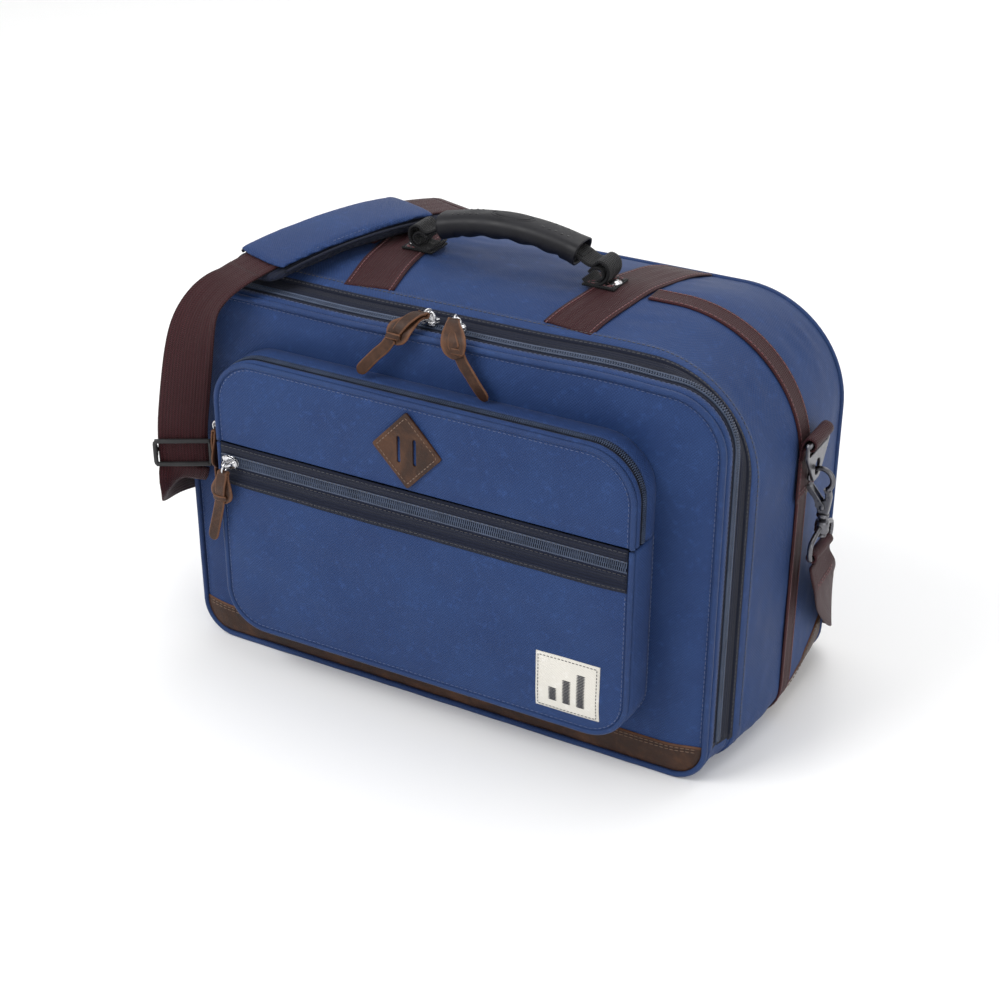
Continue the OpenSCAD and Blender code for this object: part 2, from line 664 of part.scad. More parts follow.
// Point on the pad's circle, at radius r and angle a from the highest point
function pad_point(r, a) = pad_origin + [r * sin(a) * cos(pad_turn), r * sin(a) * sin(pad_turn),
    r * cos(a)];
pad_side = [-sin(pad_turn), cos(pad_turn), 0];
strap_mid = strap_r + strap_t / 2;
arc_near = -14.2;
arc_far = 10.5;
// Route from the near end of the pad down the front left corner to the adjuster
drop_route = [pad_point(strap_mid, arc_near - 0.15), pad_point(strap_mid, arc_near - 1.3),
              [-178.5, -120.5, 308.5], [-186, -124.5, 300.5], [-193, -128.2, 287], [-198.5, -130.8, 270],
              [-203, -132.5, 245], [-207, -133.5, 220], [-210.5, -134, 198], [-212, -134, 184],
              [-212, -134, 161.5]];
drop_side = [pad_side, pad_side, [-0.93, 0.25, -0.1], [-0.94, 0.2, -0.2], [-0.95, 0.05, -0.2],
             [-0.97, -0.15, -0.1], [-0.92, -0.35, 0], [-0.88, -0.46, 0], [-0.866, -0.5, 0], [-0.866, -0.5, 0],
             [-0.866, -0.5, 0]];
// Route from the adjuster back along the left side to the left eye
return_route = [[-212.6, -133.6, 154.5], [-214.5, -132.5, 149.5], [-223, -134, 144.5], [-231.5, -126.5, 140],
                [-239.8, -109, 136.5], [-243.5, -90, 132], [-247, -58, 122], [-251, -28, 116], [-254, -9, 120],
                [-253, 0, 128], [-251.5, 2.6, 136], [-251.5, 3, 142.4]];
return_side = [[-0.866, -0.5, 0], [-0.86, -0.48, -0.15], [-0.6, -0.45, -0.66], [-0.3, -0.2, -0.93],
               [-0.1, 0, -1], [0, 0.1, -1], [0, 0.15, -1], [0, 0.4, -0.9], [0, 0.8, -0.6], [0, 1, 0], [0, 1, 0],
               [0, 1, 0]];
// Route from the right eye down behind the bag and up to the far end of the pad
rear_route = [[251.5, 3, 142.4], [252, 3.4, 135], [255, 8, 124], [253, 22, 106], [248, 43, 87], [243, 66,
    68],
              [236, 92, 50], [222, 110, 38], [190, 113, 32], [145, 112, 30], [95, 112, 38], [55, 112, 62],
              [18, 112, 105], [-15, 112, 152], [-45, 112, 204], [-72, 113, 250], [-90, 114, 284], [-97,
                  107, 308],
              pad_point(strap_mid, arc_far + 1), pad_point(strap_mid, arc_far + 0.1)];
rear_side = [[0, 1, 0], [0, 1, 0], [0, 1, 0.1], [0, 0.9, 0.4], [-0.1, 0.8, 0.55], [-0.15, 0.6, 0.78],
             [-0.2, 0.3, 0.9], [-0.2, 0.1, 1], [0, 0, 1], [0, 0, 1], [0.3, 0, 0.95], [0.6, 0, 0.8], [0.8,
                 0, 0.6],
             [0.87, 0, 0.5], [0.88, 0, 0.48], [0.9, 0, 0.4], [0.95, -0.1, 0.2], [0.97, -0.25, 0],
                 -pad_side, -pad_side];
// End of the strap sewn round an eye's lower bar
module strap_end() {
    translate([shank_x, ring_y + 18, eye_z]) rotate([90, 0, 0]) difference() {
        cylinder(r = 4.4, h = 36);
        translate([0, 0, -1]) cylinder(r = 2.3, h = 38);
    }
}
module strap_run(route, side) {
    ribbon(route, side, [for (p = route) strap_w], strap_t);
}
module strap_over_top() {
    color(maroon) pad_arc(arc_near, arc_far) translate([strap_r, -strap_w / 2]) square([strap_t, strap_w]);
}
module strap_drop() { color(maroon) strap_run(drop_route, drop_side); }
module strap_return() {
    color(maroon) {
        strap_run(return_route, return_side);
        mirror([1, 0, 0]) strap_end();
    }
}
module strap_rear() {
    color(maroon) {
        strap_run(rear_route, rear_side);
        strap_end();
    }
}

base_panel();
base_board();
front_corners();
gusset_left();
gusset_right();
gusset_top();
rear_panel();
rear_leather_trim();
zip_binding();
body_zip_tape();
body_zip_coil();
top_webbing();
girth_webbing_left();
girth_webbing_right();
ring_tab_left();
ring_tab_right();
handle_anchors();
anchor_rivets();
strap_eyes();
strap_over_top();
strap_rear();
strap_drop();
strap_return();
door_panel();
door_gusset();
door_zip_tape();
door_zip_coil();
door_piping();
door_leather_trim();
pocket_gusset_lower();
pocket_gusset_upper();
pocket_front();
pocket_piping_lower();
slash_zip_tape();
slash_zip_coil();
label_patch();
flap_panel();
flap_gusset();
flap_piping();
diamond_patch();
main_slider_left();
main_slider_right();
main_pull_left();
main_pull_right();
pocket_slider();
pocket_pull();
slash_slider();
slash_pull();
handle_grip();
handle_core();
handle_loops();
ring_left();
ring_right();
snap_hook_left();
snap_hook_right();
gate_left();
gate_right();
tri_glide();
pad_base();
pad_cover();
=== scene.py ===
import math
import bmesh
import bpy
import numpy as np
from mathutils import Matrix, Vector, noise


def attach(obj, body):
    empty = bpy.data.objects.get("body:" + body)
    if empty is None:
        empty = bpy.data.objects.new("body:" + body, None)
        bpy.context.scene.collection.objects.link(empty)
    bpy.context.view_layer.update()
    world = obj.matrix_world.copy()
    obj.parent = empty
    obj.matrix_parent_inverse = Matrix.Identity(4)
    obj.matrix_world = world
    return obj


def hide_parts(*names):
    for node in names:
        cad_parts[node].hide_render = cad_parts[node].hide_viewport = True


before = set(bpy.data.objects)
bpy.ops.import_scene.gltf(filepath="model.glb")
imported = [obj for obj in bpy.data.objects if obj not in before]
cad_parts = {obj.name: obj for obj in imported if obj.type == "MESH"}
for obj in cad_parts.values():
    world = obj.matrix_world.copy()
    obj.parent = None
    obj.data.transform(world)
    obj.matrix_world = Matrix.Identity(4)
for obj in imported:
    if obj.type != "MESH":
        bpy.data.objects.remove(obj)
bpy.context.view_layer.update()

# All shapes below are worked out in millimetres in the CAD model's own frame: +Z up, front facing -Y.
MM = 0.001
BODY_W, BODY_H, TOP_R, BASE_R = 468.0, 317.0, 100.0, 28.0  # case and its corner radii
DOOR_W, DOOR_H, DOOR_R = 441.0, 303.0, 42.0  # door and its corner radius
ZIP_Y, FACE_Y, BAND_Y = 97.0, 112.5, 84.0  # how far forward the zip, the door's face and the band lie
SEAM_Y = 88.0  # how far back the rear seam lies
POCKET_HALF, POCKET_LOW, POCKET_HIGH = 171.5, 38.0, 266.0
POCKET_FACE, POCKET_TOP_R, POCKET_LOW_R = 144.5, 38.0, 33.0
FOLD_Z, SLASH_Z, POCKET_ZIP = 196.5, 183.0, 132.0  # flap's fold, slash zip, and the zip round the pocket
SIDE_X = BODY_W / 2
CLOTH_T = 3.2  # padded wall
DOME = 18.6  # how far the rear panel stands off its seam
MID_Z = 150.0  # height that the rear panel's rings close on


# ---------------------------------------------------------------- materials
def shade(name, base, rough, metal=0.0, **inputs):
    """A new material, its node tree and its Principled shader."""
    mat = bpy.data.materials.new(name)
    mat.use_nodes = True
    tree = mat.node_tree
    bsdf = tree.nodes["Principled BSDF"]
    bsdf.inputs["Base Color"].default_value = (*base, 1)
    bsdf.inputs["Roughness"].default_value = rough
    bsdf.inputs["Metallic"].default_value = metal
    for key, value in inputs.items():
        bsdf.inputs[key.replace("_", " ")].default_value = value
    return mat, tree, bsdf


class Net:
    """Short ways to add and join shader nodes."""

    def __init__(self, tree):
        self.t = tree

    def node(self, kind, **props):
        n = self.t.nodes.new(kind)
        for k, v in props.items():
            setattr(n, k, v)
        return n

    def link(self, a, b):
        self.t.links.new(a, b)

    def put(self, socket, value):
        if hasattr(value, "is_linked"):
            self.link(value, socket)
        else:
            socket.default_value = value

    def math(self, op, a, b=0.0, clamp=False):
        n = self.node("ShaderNodeMath", operation=op, use_clamp=clamp)
        self.put(n.inputs[0], a)
        self.put(n.inputs[1], b)
        return n.outputs[0]

    def uv(self):
        n = self.node("ShaderNodeUVMap", uv_map="flat")
        s = self.node("ShaderNodeSeparateXYZ")
        self.link(n.outputs[0], s.inputs[0])
        return n.outputs[0], s.outputs[0], s.outputs[1]

    def obj(self):
        return self.node("ShaderNodeTexCoord").outputs["Object"]

    def noise(self, coords, scale, detail=4.0, rough=0.6, distortion=0.0):
        n = self.node("ShaderNodeTexNoise")
        self.link(coords, n.inputs["Vector"])
        n.inputs["Scale"].default_value = scale
        n.inputs["Detail"].default_value = detail
        n.inputs["Roughness"].default_value = rough
        n.inputs["Distortion"].default_value = distortion
        return n.outputs[0]

    def ramp(self, value, stops):
        n = self.node("ShaderNodeValToRGB")
        self.link(value, n.inputs[0])
        els = n.color_ramp.elements
        while len(els) < len(stops):
            els.new(0.5)
        for el, (pos, col) in zip(els, stops):
            el.position = pos
            el.color = (*col, 1) if len(col) == 3 else col
        return n.outputs[0]

    def span(self, value, a, b, c, d):
        n = self.node("ShaderNodeMapRange")
        self.put(n.inputs[0], value)
        for i, v in zip((1, 2, 3, 4), (a, b, c, d)):
            n.inputs[i].default_value = v
        return n.outputs[0]

    def mix(self, fac, a, b):
        n = self.node("ShaderNodeMix", data_type="RGBA")
        self.put(n.inputs[0], fac)
        for sock, v in ((n.inputs[6], a), (n.inputs[7], b)):
            if hasattr(v, "is_linked"):
                self.link(v, sock)
            else:
                sock.default_value = (*v, 1)
        return n.outputs[2]

    def bump(self, height, distance, strength=1.0, normal=None):
        n = self.node("ShaderNodeBump")
        self.link(height, n.inputs["Height"])
        n.inputs["Distance"].default_value = distance
        n.inputs["Strength"].default_value = strength
        if normal:
            self.link(normal, n.inputs["Normal"])
        return n.outputs[0]

    def wave(self, value, pitch):
        """-1..1 sine of a length in metres with that pitch in mm."""
        return self.math("SINE", self.math("MULTIPLY", value, 2 * math.pi / (pitch * MM)))


def canvas(name, base, light, pitch=1.15, rough=0.62, depth=0.00022, sheen=0.25):
    """Plain-woven cloth: crossing threads, a mottled dye, faint creases."""
    mat, tree, bsdf = shade(name, base, rough, Sheen_Weight=sheen, Sheen_Roughness=0.5,
                            Specular_IOR_Level=0.2)
    n = Net(tree)
    uv, u, v = n.uv()
    threads = n.math("MULTIPLY", n.wave(u, pitch * 2), n.wave(v, pitch * 2))
    slub = n.noise(uv, 900, 2)
    obj = n.obj()
    mottled = n.noise(obj, 14, 6, 0.65)
    fine = n.noise(obj, 160, 4, 0.7)
    tone = n.mix(n.span(mottled, 0.32, 0.7, 0, 1), base, light)
    dark = n.mix(n.span(threads, -1, 1, 0.0, 0.42), tone, tuple(c * 0.35 for c in base))
    worn = n.mix(n.span(fine, 0.55, 0.8, 0, 0.35), dark, tuple(min(1, c * 1.9) for c in light))
    n.link(worn, bsdf.inputs["Base Color"])
    n.link(n.span(mottled, 0.3, 0.7, rough - 0.08, rough + 0.1), bsdf.inputs["Roughness"])
    height = n.math("ADD", threads, n.math("MULTIPLY", slub, 1.4))
    first = n.bump(height, depth, 0.55)
    n.link(n.bump(n.noise(obj, 55, 5, 0.6), 0.0012, 0.35, first), bsdf.inputs["Normal"])
    return mat


def webbing_mat(name, base, light, rib=1.7, rough=0.55, sheen=0.12):
    """Heavy woven strap: rows of ribs across it, broken by a twill step, with denser edges. Its colour holds
    painted shade in the grooves of the weave and a painted highlight on the crests of the ribs.
    """
    mat, tree, bsdf = shade(name, base, rough, Sheen_Weight=sheen, Sheen_Roughness=0.4,
                            Specular_IOR_Level=0.2)
    n = Net(tree)
    uv, u, v = n.uv()
    twill = n.wave(n.math("ADD", v, n.math("MULTIPLY", n.math("PINGPONG", u, 0.0045), 0.9)), rib)
    cords = n.wave(u, 2.3)
    height = n.math("ADD", n.math("MULTIPLY", twill, 0.7), n.math("MULTIPLY", cords, 0.5))
    obj = n.obj()
    blot = n.noise(obj, 40, 5, 0.65)
    # painted shade and highlight: the colour follows the weave's bump height, darker in the grooves and
    # lighter on the crests
    tone = n.mix(n.span(height, -1.1, 1.1, 0, 1), tuple(c * 0.45 for c in base), light)
    n.link(n.mix(n.span(blot, 0.35, 0.7, 0, 0.6), tone, base), bsdf.inputs["Base Color"])
    n.link(n.bump(height, 0.00035, 0.8, n.bump(n.noise(uv, 1500, 2), 0.0001, 0.4)), bsdf.inputs["Normal"])
    return mat


def leather_mat(name, dark, mid, scuff):
    """Waxed leather: pebbled grain, pulled-up tan patches, pale cut edges."""
    mat, tree, bsdf = shade(name, mid, 0.5, Specular_IOR_Level=0.25, Coat_Weight=0.05, Coat_Roughness=0.35)
    n = Net(tree)
    obj = n.obj()
    patches = n.noise(obj, 28, 8, 0.68, 0.6)
    streaks = n.noise(obj, 120, 6, 0.7, 1.2)
    grain = n.node("ShaderNodeTexVoronoi", feature="DISTANCE_TO_EDGE")
    n.link(obj, grain.inputs["Vector"])
    grain.inputs["Scale"].default_value = 900
    tone = n.ramp(patches, [(0.3, dark), (0.5, mid), (0.68, scuff)])
    tone = n.mix(n.span(streaks, 0.52, 0.75, 0, 0.55), tone, scuff)
    edge = n.node("ShaderNodeAttribute", attribute_name="edge")
    worn = n.math("MULTIPLY", edge.outputs["Fac"], n.span(streaks, 0.25, 0.6, 0.45, 1.0), True)
    n.link(n.mix(worn, tone, tuple(min(1, c * 1.7) for c in scuff)), bsdf.inputs["Base Color"])
    n.link(n.span(patches, 0.3, 0.7, 0.38, 0.62), bsdf.inputs["Roughness"])
    soft = n.bump(n.noise(obj, 90, 6, 0.65), 0.0006, 0.5)
    n.link(n.bump(n.span(grain.outputs["Distance"], 0, 0.12, 0, 1), 0.00016, 0.5, soft),
           bsdf.inputs["Normal"])
    return mat


def metal_mat(name, base, rough, spots=0.06):
    mat, tree, bsdf = shade(name, base, rough, 1.0)
    n = Net(tree)
    obj = n.obj()
    cloud = n.noise(obj, 180, 6, 0.7)
    scratch = n.noise(obj, 2200, 3, 0.6, 2.0)
    n.link(n.mix(n.span(cloud, 0.35, 0.7, 0, 1), tuple(c * 0.72 for c in base), base),
           bsdf.inputs["Base Color"])
    n.link(n.span(cloud, 0.3, 0.75, rough - spots, rough + 2.4 * spots), bsdf.inputs["Roughness"])
    n.link(n.bump(scratch, 0.00004, 0.35), bsdf.inputs["Normal"])
    return mat


def moulded_mat(name, base, rough, grain=1400, depth=0.00006, shine=0.3):
    mat, tree, bsdf = shade(name, base, rough, Specular_IOR_Level=shine)
    n = Net(tree)
    obj = n.obj()
    cloud = n.noise(obj, 70, 5, 0.6)
    n.link(n.mix(n.span(cloud, 0.3, 0.7, 0, 1), base, tuple(c * 1.7 + 0.004 for c in base)),
           bsdf.inputs["Base Color"])
    n.link(n.span(cloud, 0.3, 0.7, rough - 0.06, rough + 0.1), bsdf.inputs["Roughness"])
    n.link(n.bump(n.noise(obj, grain, 3, 0.6), depth, 0.6), bsdf.inputs["Normal"])
    return mat


def thread_mat(name, base):
    mat, tree, bsdf = shade(name, base, 0.6, Sheen_Weight=0.3)
    n = Net(tree)
    n.link(n.mix(n.span(n.noise(n.obj(), 700, 3), 0.3, 0.7, 0, 1), base, tuple(c * 1.5 for c in base)),
           bsdf.inputs["Base Color"])
    return mat


BLUE = canvas("blue_canvas", (0.012, 0.036, 0.128), (0.022, 0.054, 0.165), sheen=0.04)
PIPING = canvas("piping_cloth", (0.012, 0.034, 0.120), (0.022, 0.054, 0.160), 0.8, 0.5, sheen=0.04)
LINING = canvas("lining_cloth", (0.045, 0.048, 0.055), (0.060, 0.062, 0.070), 0.9, 0.7)
NAVY = webbing_mat("navy_tape", (0.006, 0.009, 0.024), (0.011, 0.016, 0.040), 1.0, 0.75, 0.05)
MAROON = webbing_mat("maroon_webbing", (0.027, 0.005, 0.007), (0.058, 0.011, 0.015), sheen=0.04)
BLACK = webbing_mat("black_webbing", (0.005, 0.005, 0.006), (0.014, 0.014, 0.016), sheen=0.04)
LEATHER = leather_mat("brown_leather", (0.015, 0.006, 0.003), (0.034, 0.013, 0.006), (0.084, 0.036, 0.017))
RUBBER = moulded_mat("black_rubber", (0.003, 0.003, 0.005), 0.46)
TEETH = moulded_mat("zip_coil_plastic", (0.034, 0.047, 0.080), 0.34, 900)
PLASTIC = moulded_mat("black_plastic", (0.014, 0.014, 0.015), 0.38)
STEEL = metal_mat("dark_metal", (0.16, 0.16, 0.175), 0.28)
SILVER = metal_mat("bright_metal", (0.72, 0.72, 0.74), 0.20)
LABEL = canvas("cream_label", (0.74, 0.71, 0.64), (0.84, 0.81, 0.74), 0.7, 0.8, 0.00015)
BLUE_THREAD = thread_mat("blue_thread", (0.030, 0.052, 0.135))
DARK_THREAD = thread_mat("dark_thread", (0.020, 0.020, 0.026))
MAROON_THREAD = thread_mat("maroon_thread", (0.10, 0.020, 0.024))
BROWN_THREAD = thread_mat("brown_thread", (0.11, 0.060, 0.035))


# ---------------------------------------------------------------- meshes
def finish_piece(obj, mat, body, replaces=()):
    """Gives a piece its material or materials, its body and the CAD nodes it stands for."""
    mats = mat if isinstance(mat, (list, tuple)) else [mat]
    for m in mats:
        obj.data.materials.append(m)
    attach(obj, body)
    if replaces:
        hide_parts(*replaces)
    return obj


def mesh_object(name, verts, faces, uvs=None, edge=None, smooth=True, picks=None):
    """Mesh from millimetre points. uvs are per point in mm, edge is a 0..1 wear value per point."""
    mesh = bpy.data.meshes.new(name)
    verts = np.asarray(verts, float)
    mesh.from_pydata((verts * MM).tolist(), [], [list(map(int, f)) for f in faces])
    if uvs is not None:
        layer = mesh.uv_layers.new(name="flat")
        index = np.zeros(len(mesh.loops), int)
        mesh.loops.foreach_get("vertex_index", index)
        layer.data.foreach_set("uv", (np.asarray(uvs, float)[index] * MM).ravel())
    if edge is not None:
        mesh.attributes.new("edge", "FLOAT", "POINT").data.foreach_set("value", np.asarray(edge, np.float32))
    if picks is not None:
        mesh.polygons.foreach_set("material_index", list(map(int, picks)))
    mesh.polygons.foreach_set("use_smooth", [smooth] * len(mesh.polygons))
    mesh.update()
    obj = bpy.data.objects.new(name, mesh)
    bpy.context.scene.collection.objects.link(obj)
    return obj


def fix_normals(obj):
    bm = bmesh.new()
    bm.from_mesh(obj.data)
    bmesh.ops.recalc_face_normals(bm, faces=bm.faces)
    bm.to_mesh(obj.data)
    bm.free()


def grid_faces(rows, cols, wrap_cols=False, wrap_rows=False, base=0):
    out = []
    for i in range(rows if wrap_rows else rows - 1):
        for j in range(cols if wrap_cols else cols - 1):
            a, b = base + i * cols + j, base + i * cols + (j + 1) % cols
            c, d = base + ((i + 1) % rows) * cols + (j + 1) % cols, base + ((i + 1) % rows) * cols + j
            out.append((a, b, c, d))
    return out


def sheet(name, face, back, uvs, flip=False, edge=None, lined=False):
    """Closed cloth between two equal grids of points, its outer face and its back, with a rim round them.
    uvs and edge are per point of one face. lined gives the back the second material."""
    rows, cols = face.shape[:2]
    base = rows * cols
    border = [(0, j) for j in range(cols)] + [(i, cols - 1) for i in range(1, rows)]
    border += [(rows - 1, j) for j in range(cols - 2, -1, -1)] + [(i, 0) for i in range(rows - 2, 0, -1)]
    ids = [i * cols + j for i, j in border]
    outer = grid_faces(rows, cols)
    inner = [f[::-1] for f in grid_faces(rows, cols, base=base)]
    rim = [(b, a, base + a, base + b) for a, b in zip(ids, ids[1:] + ids[:1])]
    faces = outer + inner + rim
    if flip:
        faces = [f[::-1] for f in faces]
    picks = [0] * len(outer) + [int(lined)] * len(inner) + [0] * len(rim)
    verts = np.vstack([face.reshape(-1, 3), back.reshape(-1, 3)])
    uvs = np.vstack([np.reshape(uvs, (-1, 2))] * 2)
    edge = None if edge is None else np.concatenate([np.ravel(edge)] * 2)
    return mesh_object(name, verts, faces, uvs, edge, picks=picks)


def lengths(points):
    """Running length along a list of points."""
    step = np.linalg.norm(np.diff(points, axis=0), axis=1)
    return np.concatenate([[0], np.cumsum(step)])


def smooth_path(points, step=3.0, closed=False):
    """Catmull-Rom curve through given points, at an even spacing."""
    p = np.asarray(points, float)
    ext = np.vstack([2 * p[0] - p[1], p,
                     2 * p[-1] - p[-2]]) if not closed else np.vstack([p[-1], p, p[0], p[1]])
    out = []
    for i in range(1, len(ext) - 2):
        a, b, c, d = ext[i - 1:i + 3]
        n = max(2, int(np.linalg.norm(c - b) / (step * 0.4)))
        for t in np.linspace(0, 1, n, endpoint=False):
            out.append(0.5 * (2 * b + (c - a) * t + (2 * a - 5 * b + 4 * c - d) * t ** 2
                              + (3 * b - a - 3 * c + d) * t ** 3))
    out.append(ext[-2])
    out = np.array(out)
    s = lengths(out)
    want = np.linspace(0, s[-1], max(2, int(round(s[-1] / step)) + 1))
    return np.column_stack([np.interp(want, s, out[:, k]) for k in range(3)])


def unit(v):
    v = np.asarray(v, float)
    return v / np.maximum(np.linalg.norm(v, axis=-1, keepdims=True), 1e-9)


def tangents(p):
    return unit(np.gradient(p, axis=0))


def strip(name, path, across, half, thick, segs=5, corner=0.35):
    """Closed strap along path: across is its width direction, half its half width and thick its thickness.
    The section is a flat bar with rounded edges."""
    path = np.asarray(path, float)
    n = len(path)
    t = tangents(path)
    w = np.asarray(across, float) * np.ones((n, 3))
    w = unit(w - t * np.sum(w * t, axis=1, keepdims=True))
    up = np.cross(t, w)
    half = np.ones(n) * half
    thick = np.ones(n) * thick
    top = np.linspace(-1, 1, segs)
    ring = [(x, 0.5) for x in top] + [(1.0, 0.0)] + [(x, -0.5) for x in top[::-1]] + [(-1.0, 0.0)]
    m = len(ring)
    verts, uvs, edge = [], [], []
    s = lengths(path)
    for i in range(n):
        for x, z in ring:
            side = half[i] * x
            if abs(x) == 1 and z != 0:
                side = (half[i] - thick[i] * corner) * x
            verts.append(path[i] + w[i] * side + up[i] * (thick[i] * z))
            uvs.append((side, s[i]))
            edge.append(1.0 if abs(x) == 1 else 0.0)
    faces = grid_faces(n, m, wrap_cols=True)
    faces.append(tuple(range(m - 1, -1, -1)))
    faces.append(tuple((n - 1) * m + k for k in range(m)))
    return mesh_object(name, verts, faces, uvs, edge)


def tube(name, path, radius, sides=10, closed=False, squash=1.0, up=None):
    """Round cord along a path. Its section is set square to up, or to the flattest direction of the path."""
    path = np.asarray(path, float)
    if up is None:
        up = np.linalg.svd(path - path.mean(axis=0))[2][2]
    n = len(path)
    t = tangents(path) if not closed else unit(np.roll(path, -1, 0) - np.roll(path, 1, 0))
    ref = np.array(up, float) * np.ones((n, 3))
    a = unit(np.cross(t, ref))
    b = np.cross(a, t)
    r = np.ones(n) * radius
    s = lengths(path)
    ang = np.linspace(0, 2 * math.pi, sides, endpoint=False)
    verts, uvs = [], []
    for i in range(n):
        for k in ang:
            verts.append(path[i] + r[i] * (math.cos(k) * a[i] + squash * math.sin(k) * b[i]))
            uvs.append((k * r[i], s[i]))
    faces = grid_faces(n, sides, wrap_cols=True, wrap_rows=closed)
    if not closed:
        faces.append(tuple(range(sides - 1, -1, -1)))
        faces.append(tuple((n - 1) * sides + k for k in range(sides)))
    return mesh_object(name, verts, faces, uvs)


def blobs(name, centres, along, across, size, sides=6):
    """Small lozenges in one mesh: stitches or zip teeth. size holds half the length, width and height."""
    along, across = unit(along), np.asarray(across, float)
    across = unit(across - along * np.sum(across * along, axis=1, keepdims=True))
    up = np.cross(along, across)
    prof = [(-1.0, 0.45), (-0.55, 1.0), (0.55, 1.0), (1.0, 0.45)]
    ang = np.linspace(0, 2 * math.pi, sides, endpoint=False)
    verts, faces = [], []
    for c, a, b, u in zip(centres, along, across, up):
        base = len(verts)
        for x, r in prof:
            for k in ang:
                verts.append(c + a * x * size[0] + b * r * size[1] * math.cos(k)
                             + u * r * size[2] * math.sin(k))
        faces += grid_faces(len(prof), sides, wrap_cols=True, base=base)
        faces.append(tuple(base + k for k in range(sides - 1, -1, -1)))
        faces.append(tuple(base + (len(prof) - 1) * sides + k for k in range(sides)))
    return mesh_object(name, verts, faces)


def stitches(name, runs, pitch=4.2, size=(1.5, 0.36, 0.3)):
    """Rows of thread. Each run is (path, normal) in mm."""
    cs, al, ac = [], [], []
    for path, normal in runs:
        path = np.asarray(path, float)
        s = lengths(path)
        count = max(1, int(s[-1] / pitch))
        want = (np.arange(count) + 0.5) * s[-1] / count
        t = tangents(path)
        nrm = np.asarray(normal, float) * np.ones((len(path), 3))
        for q in want:
            c = np.array([np.interp(q, s, path[:, k]) for k in range(3)])
            d = np.array([np.interp(q, s, t[:, k]) for k in range(3)])
            m = np.array([np.interp(q, s, nrm[:, k]) for k in range(3)])
            cs.append(c)
            al.append(d)
            ac.append(np.cross(m, d))
    return blobs(name, np.array(cs), np.array(al), np.array(ac), size)


def sew(name, runs, pitch, size, thread, body):
    """Stitches along runs of (path, outward direction), as one finished piece."""
    finish_piece(stitches(name, runs, pitch, size), thread, body)


def mirrored(half):
    """Half an outline followed by its mirror image."""
    return half + [(-x, z) for x, z in half[::-1]]


def circle(x, z, r, n):
    """Closed outline of n points around (x, z)."""
    return [(x + r * math.cos(a), z + r * math.sin(a))
            for a in np.linspace(0, 2 * math.pi, n, endpoint=False)]


def plate(name, loops, thick, bevel, matrix, steps=2):
    """Flat plate with holes and rounded edges. loops are 2D outlines in mm, matrix places the plane."""
    curve = bpy.data.curves.new(name, "CURVE")
    curve.dimensions = "2D"
    curve.fill_mode = "BOTH"
    curve.extrude = max(0.0, thick / 2 - bevel)
    curve.bevel_depth = bevel
    curve.bevel_resolution = steps
    curve.offset = -bevel
    for loop in loops:
        spline = curve.splines.new("POLY")
        spline.points.add(len(loop) - 1)
        for pt, (x, y) in zip(spline.points, loop):
            pt.co = (x, y, 0, 1)
        spline.use_cyclic_u = True
    temp = bpy.data.objects.new(name + "_curve", curve)
    bpy.context.scene.collection.objects.link(temp)
    bpy.context.view_layer.update()
    mesh = bpy.data.meshes.new_from_object(temp.evaluated_get(bpy.context.evaluated_depsgraph_get()))
    bpy.data.objects.remove(temp)
    bpy.data.curves.remove(curve)
    mesh.transform(Matrix.Scale(MM, 4) @ matrix)
    mesh.name = name
    mesh.polygons.foreach_set("use_smooth", [False] * len(mesh.polygons))
    obj = bpy.data.objects.new(name, mesh)
    bpy.context.scene.collection.objects.link(obj)
    return obj


def join(name, parts):
    """One object from several."""
    verts, faces, smooth, uvs, edges, base = [], [], [], [], [], 0
    for o in parts:
        me = o.data
        co = np.zeros(len(me.vertices) * 3)
        me.vertices.foreach_get("co", co)
        verts.append(co.reshape(-1, 3))
        uv = np.zeros((len(me.vertices), 2))
        if "flat" in me.uv_layers:
            for loop in me.loops:
                uv[loop.vertex_index] = me.uv_layers["flat"].data[loop.index].uv
        uvs.append(uv)
        ed = np.zeros(len(me.vertices))
        if "edge" in me.attributes:
            me.attributes["edge"].data.foreach_get("value", ed)
        edges.append(ed)
        for p in me.polygons:
            faces.append([base + k for k in p.vertices])
            smooth.append(p.use_smooth)
        base += len(me.vertices)
        bpy.data.objects.remove(o)
    obj = mesh_object(name, np.vstack(verts) / MM, faces, np.vstack(uvs) / MM, np.concatenate(edges))
    obj.data.polygons.foreach_set("use_smooth", smooth)
    return obj


def axes(x, y, z, at=(0, 0, 0)):
    """Matrix with these columns, in mm."""
    m = Matrix.Identity(4)
    for k, v in enumerate((x, y, z)):
        m[0][k], m[1][k], m[2][k] = v
    m[0][3], m[1][3], m[2][3] = at
    return m


def ripple(p, scale, seed=0.0):
    """Smooth noise, -1..1, at each point."""
    return np.array([noise.noise(Vector((x * scale + seed, y * scale, z * scale))) for x, y, z in p])


# ---------------------------------------------------------------- outline of the case
def case_measure(y, middle, door, rear_drop, power=2):
    """A measure of the case at depth y: middle, then door at the zip, or rear_drop less at the seam."""
    if y < 0:
        return middle - (middle - door) * min(1, -y / ZIP_Y) ** power
    return middle - rear_drop * (y / SEAM_Y) ** 2


def half_w(y):
    return case_measure(y, SIDE_X, DOOR_W / 2, 4)


def height(y):
    return case_measure(y, BODY_H, DOOR_H, 14)


def top_r(y):
    return case_measure(y, TOP_R, DOOR_R, 18, 4)


def turn(cx, cz, r, a0, a1, n):
    a = np.radians(np.linspace(a0, a1, n))
    return np.column_stack([cx + r * np.cos(a), cz + r * np.sin(a)])


